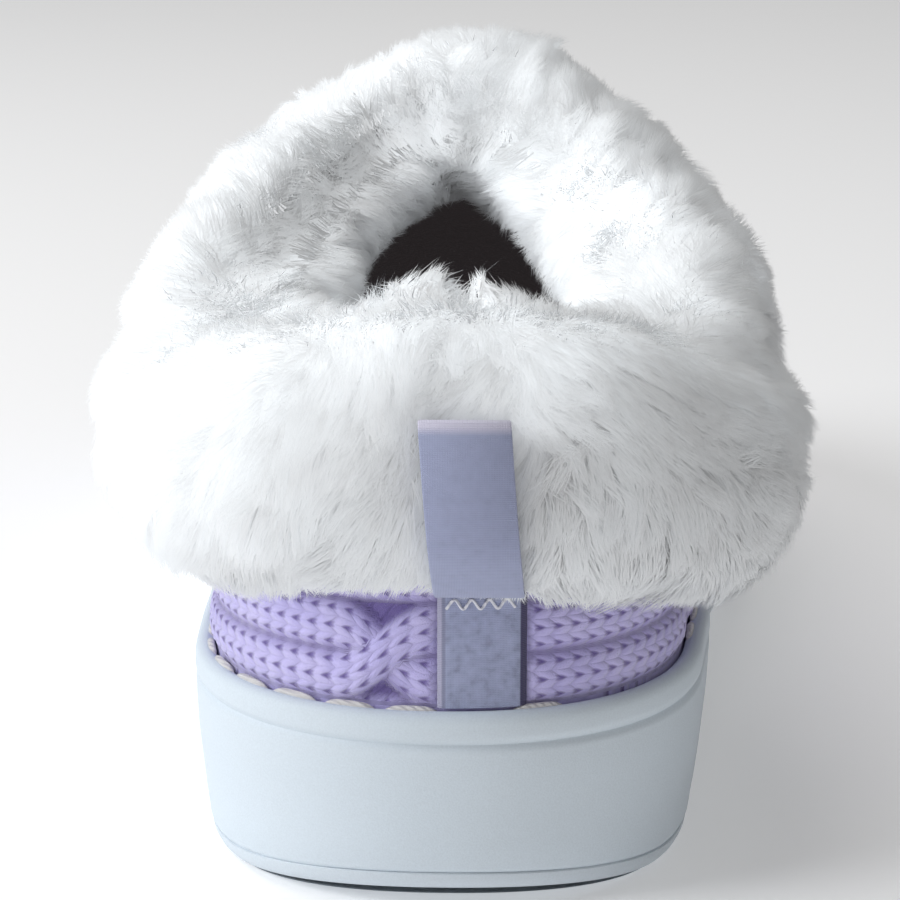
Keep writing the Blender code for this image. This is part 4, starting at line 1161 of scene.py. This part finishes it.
def loop_path():
    """The folded ribbon in side view: up the outside of the fur, over and back."""
    column = cuff_surface(60, 13)[0, :7]
    back, _ = heel_face(0.0, stay_top)
    stay_face = back[1] - GAP * 2.5 - STAY_THICKNESS
    outline = np.array([(stay_face, stay_top - LOOP_SEAM), (stay_face, stay_top)]
                       + [(p[1], p[2]) for p in column])
    reached = np.concatenate([[0.0], np.cumsum(np.linalg.norm(np.diff(outline, axis=0), axis=1))])
    s = np.linspace(0.0, LOOP_LENGTH, 9)
    inner = np.column_stack([np.interp(s, reached, outline[:, axis]) for axis in range(2)])
    tangents = unit(np.gradient(inner, axis=0))
    outward = np.column_stack([-tangents[:, 1], tangents[:, 0]])
    near = np.full(9, LOOP_THICKNESS / 2 + LOOP_CLEARANCE)
    near[0] = LOOP_THICKNESS / 2 + GAP
    hollow = np.full(9, LOOP_HOLLOW)
    hollow[:2] = GAP
    inside = inner + outward * near[:, None]
    outside = inner + outward * (near + LOOP_THICKNESS + hollow)[:, None]
    centre, radius = (inside[-1] + outside[-1]) / 2, np.linalg.norm(outside[-1] - inside[-1]) / 2
    fold = [centre - outward[-1] * radius * math.cos(turn) + tangents[-1] * radius * math.sin(turn)
            for turn in np.radians((45, 90, 135))]
    return np.vstack([inside, fold, outside[::-1]])


def refined(points, count):
    """Smooth curve through points, at a count of even steps."""
    reached = np.concatenate([[0.0], np.cumsum(np.linalg.norm(np.diff(points, axis=0), axis=1))])
    s = np.linspace(0.0, reached[-1], count)
    return np.column_stack([
        curve(list(zip(reached, points[:, axis])), s) for axis in range(points.shape[1])])


loop_line = refined(loop_path(), 96)
loop_climb = (loop_line[:, 1] - stay_top) / (loop_line[:, 1].max() - stay_top)
loop_line[:, 1] += STAY_RAISE * (1.0 - loop_climb) - LOOP_SETTLE * loop_climb
loop_tangents = unit(np.gradient(loop_line, axis=0))
loop_out = np.column_stack([-loop_tangents[:, 1], loop_tangents[:, 0]])
loop_x = RIBBON_OFFSET - LOOP_LEAN * np.maximum(loop_line[:, 1] - stay_top, 0.0)
loop_rings = ribbon_sheet(loop_line, loop_out, loop_x, LOOP_THICKNESS)
loop_points, loop_faces = stacked(list(loop_rings))
count = loop_rings.shape[1]
ends = [np.arange(count), np.arange(count) + len(loop_points) - count]
loop_top = loop_points[:, 2].max()
loop_cloth = ribbon_material("folded_loop_ribbon", 0.16, (
    # A paler band along the loop's top fold: painted highlight where the fold meets the light from
    # above.
    (2, loop_top - 0.0017, loop_top - 0.0006, (0.58, 0.56, 0.69)),
))
loop_mesh = piece("pull_loop_ribbon", [(loop_points, loop_faces)], loop_cloth, "pull_loop",
                  sharp=50)
closing = bmesh.new()
closing.from_mesh(loop_mesh.data)
bmesh.ops.holes_fill(closing, edges=[e for e in closing.edges if e.is_boundary], sides=16)
closing.to_mesh(loop_mesh.data)
closing.free()

# Threads: a white zigzag tack that holds the loop to the stay, and long off-white
# stitches laid along the rim, which fasten the knit to the foam.
TACK_RADIUS = 0.00023
TACK_POINTS = 9
TACK_HEIGHT = 0.0014
TACK_DROP = 0.0014
RIM_STITCH_LENGTH = 0.0083
RIM_STITCH_GAP = 0.0010
RIM_STITCH_RADIUS = 0.00060
RIM_THREAD = (0.72, 0.70, 0.69)


def tube(path, radii, sides=8):
    """Closed round cord through points, with a radius at each."""
    path = np.asarray(path)
    ahead = unit(np.gradient(path, axis=0))
    guide = np.array((0.31, 0.17, 0.93))
    first = unit(np.cross(ahead, guide))
    second = np.cross(ahead, first)
    angles = np.linspace(0, 2 * np.pi, sides, endpoint=False)
    rings = [p + (f * np.cos(angles)[:, None] + s * np.sin(angles)[:, None]) * r
             for p, f, s, r in zip(path, first, second, radii)]
    return stacked(rings)


def thread_material(name, colour):
    """Twisted thread: slanting ply lines and a little lint."""
    material, tree, shader = new_material(name, colour, 0.8)
    shader.inputs["Sheen Weight"].default_value = 0.3
    place = tree.nodes.new("ShaderNodeTexCoord").outputs["Object"]
    ply = add_node(tree, "ShaderNodeTexWave", {
        "Vector": place, "Scale": 420.0, "Distortion": 2.0, "Detail": 2.0},
        wave_type="BANDS", bands_direction="DIAGONAL")
    dark = tuple(c * 0.72 for c in colour)
    share = add_node(tree, "ShaderNodeMapRange", {
        "Value": ply.outputs["Fac"], "From Min": 0.0, "From Max": 1.0,
        "To Min": 0.3, "To Max": 0.0})
    tree.links.new(mixed(tree, share.outputs[0], colour, dark), shader.inputs["Base Color"])
    bump = add_node(tree, "ShaderNodeBump", {
        "Height": ply.outputs["Fac"], "Strength": 0.6, "Distance": 0.0003})
    tree.links.new(bump.outputs[0], shader.inputs["Normal"])
    return material


tack_xs = np.linspace(-0.40, 0.36, TACK_POINTS) * RIBBON_WIDTH + RIBBON_OFFSET
tack_path = []
for i, x in enumerate(tack_xs):
    place, facing = heel_face(x, stay_top - TACK_DROP - (0.0 if i % 2 else TACK_HEIGHT))
    tack_path.append(place + facing * (STAY_LIFT + STAY_THICKNESS + TACK_RADIUS * 0.4))
tack_line = refined(np.array(tack_path), 73)
piece("loop_tack", [tube(tack_line, np.full(73, TACK_RADIUS))],
      thread_material("white_tack_thread", THREAD_WHITE), None, sharp=0)

rim_line = ring(1440, RIM_WIDTH * 0.80, lambda share: rim(share) - RIM_ROLL * 0.12)
rim_run = np.concatenate([[0.0], np.cumsum(np.linalg.norm(
    np.diff(np.vstack([rim_line, rim_line[:1]]), axis=0), axis=1))])
stitch_count = int(rim_run[-1] / (RIM_STITCH_LENGTH + RIM_STITCH_GAP))
pitch = rim_run[-1] / stitch_count
closed_rim = np.vstack([rim_line, rim_line[:1]])
rim_stitches = []
for i in range(stitch_count):
    middle = (i + 0.5) * pitch
    s = middle + np.linspace(-0.5, 0.5, 13) * (pitch - RIM_STITCH_GAP)
    path = np.column_stack([np.interp(s, rim_run, closed_rim[:, axis]) for axis in range(3)])
    if np.abs(path[6, 0] - RIBBON_OFFSET) < RIBBON_WIDTH / 2 and path[6, 1] < 0:
        continue
    dip = np.abs(np.linspace(-1, 1, 13)) ** 4
    sunk = smooth((path[6, 0] - 0.012) / 0.008) * (path[6, 1] < 0.0)
    path[:, 2] -= dip * 0.0009 - 0.0001 + sunk * 0.0012
    radii = RIM_STITCH_RADIUS * (1.0 - 0.55 * dip) * draw.uniform(0.9, 1.08)
    path[:, 2] += draw.normal() * 0.00008
    rim_stitches.append(tube(path, radii, 8))
piece("rim_stitches", rim_stitches, thread_material("off_white_rim_thread", RIM_THREAD),
      None, merge=False, sharp=0)

# Stage: a plain pale floor, a broad soft light from the left, and the camera behind the
# heel, low and close to the line of the shoe.
CAMERA_AIM = Vector((0.0, -0.038, 0.060))
CAMERA_DISTANCE = 0.45
CAMERA_ELEVATION = math.radians(17.0)
CAMERA_YAW = math.radians(-1.5)
CAMERA_LENS = 126.5
CAMERA_SHIFT = (0.0078, 0.0856)
FLOOR_HALF = 12.0

floor_data = bpy.data.meshes.new("floor")
floor_data.from_pydata([(-FLOOR_HALF, -FLOOR_HALF, 0.0), (FLOOR_HALF, -FLOOR_HALF, 0.0),
                        (FLOOR_HALF, FLOOR_HALF, 0.0), (-FLOOR_HALF, FLOOR_HALF, 0.0)],
                       [], [(0, 1, 2, 3)])
floor_material, _, floor_shader = new_material("pale_floor", (0.90, 0.90, 0.905), 0.9)
floor_shader.inputs["Emission Color"].default_value = (1.0, 1.0, 1.0, 1.0)
floor_shader.inputs["Emission Strength"].default_value = 0.22
floor_data.materials.append(floor_material)
floor = bpy.data.objects.new("floor", floor_data)
bpy.context.scene.collection.objects.link(floor)


def soft_light(name, place, size, power, colour):
    data = bpy.data.lights.new(name, "AREA")
    data.shape = "DISK"
    data.size = size
    data.energy = power
    data.color = colour
    light = bpy.data.objects.new(name, data)
    light.location = place
    light.rotation_euler = (Vector((0.0, 0.03, 0.05)) - Vector(place)).to_track_quat(
        "-Z", "Y").to_euler()
    bpy.context.scene.collection.objects.link(light)


soft_light("key", (-1.38, -0.34, 0.86), 0.9, 17.6, (0.955, 0.978, 1.0))
soft_light("top", (-0.45, 0.05, 1.25), 1.0, 6.0, (1.0, 0.995, 0.985))
soft_light("fill", (0.03, -0.85, 0.26), 0.3, 0.6, (1.0, 0.99, 0.98))
world = bpy.data.worlds.new("studio")
world.use_nodes = True
world.node_tree.nodes["Background"].inputs[0].default_value = (1.0, 0.985, 0.97, 1.0)
world.node_tree.nodes["Background"].inputs[1].default_value = 0.18
bpy.context.scene.world = world

camera_data = bpy.data.cameras.new("camera")
camera_data.lens = CAMERA_LENS
camera_data.sensor_width = 36.0
camera_data.shift_x, camera_data.shift_y = CAMERA_SHIFT
camera_data.clip_start, camera_data.clip_end = 0.01, 20.0
camera = bpy.data.objects.new("camera", camera_data)
forward = Vector((math.sin(CAMERA_YAW) * math.cos(CAMERA_ELEVATION),
                  math.cos(CAMERA_YAW) * math.cos(CAMERA_ELEVATION),
                  -math.sin(CAMERA_ELEVATION)))
camera.location = CAMERA_AIM - forward * CAMERA_DISTANCE
camera.rotation_euler = forward.to_track_quat("-Z", "Y").to_euler()
bpy.context.scene.collection.objects.link(camera)
bpy.context.scene.camera = camera
bpy.context.scene.view_settings.view_transform = "Standard"
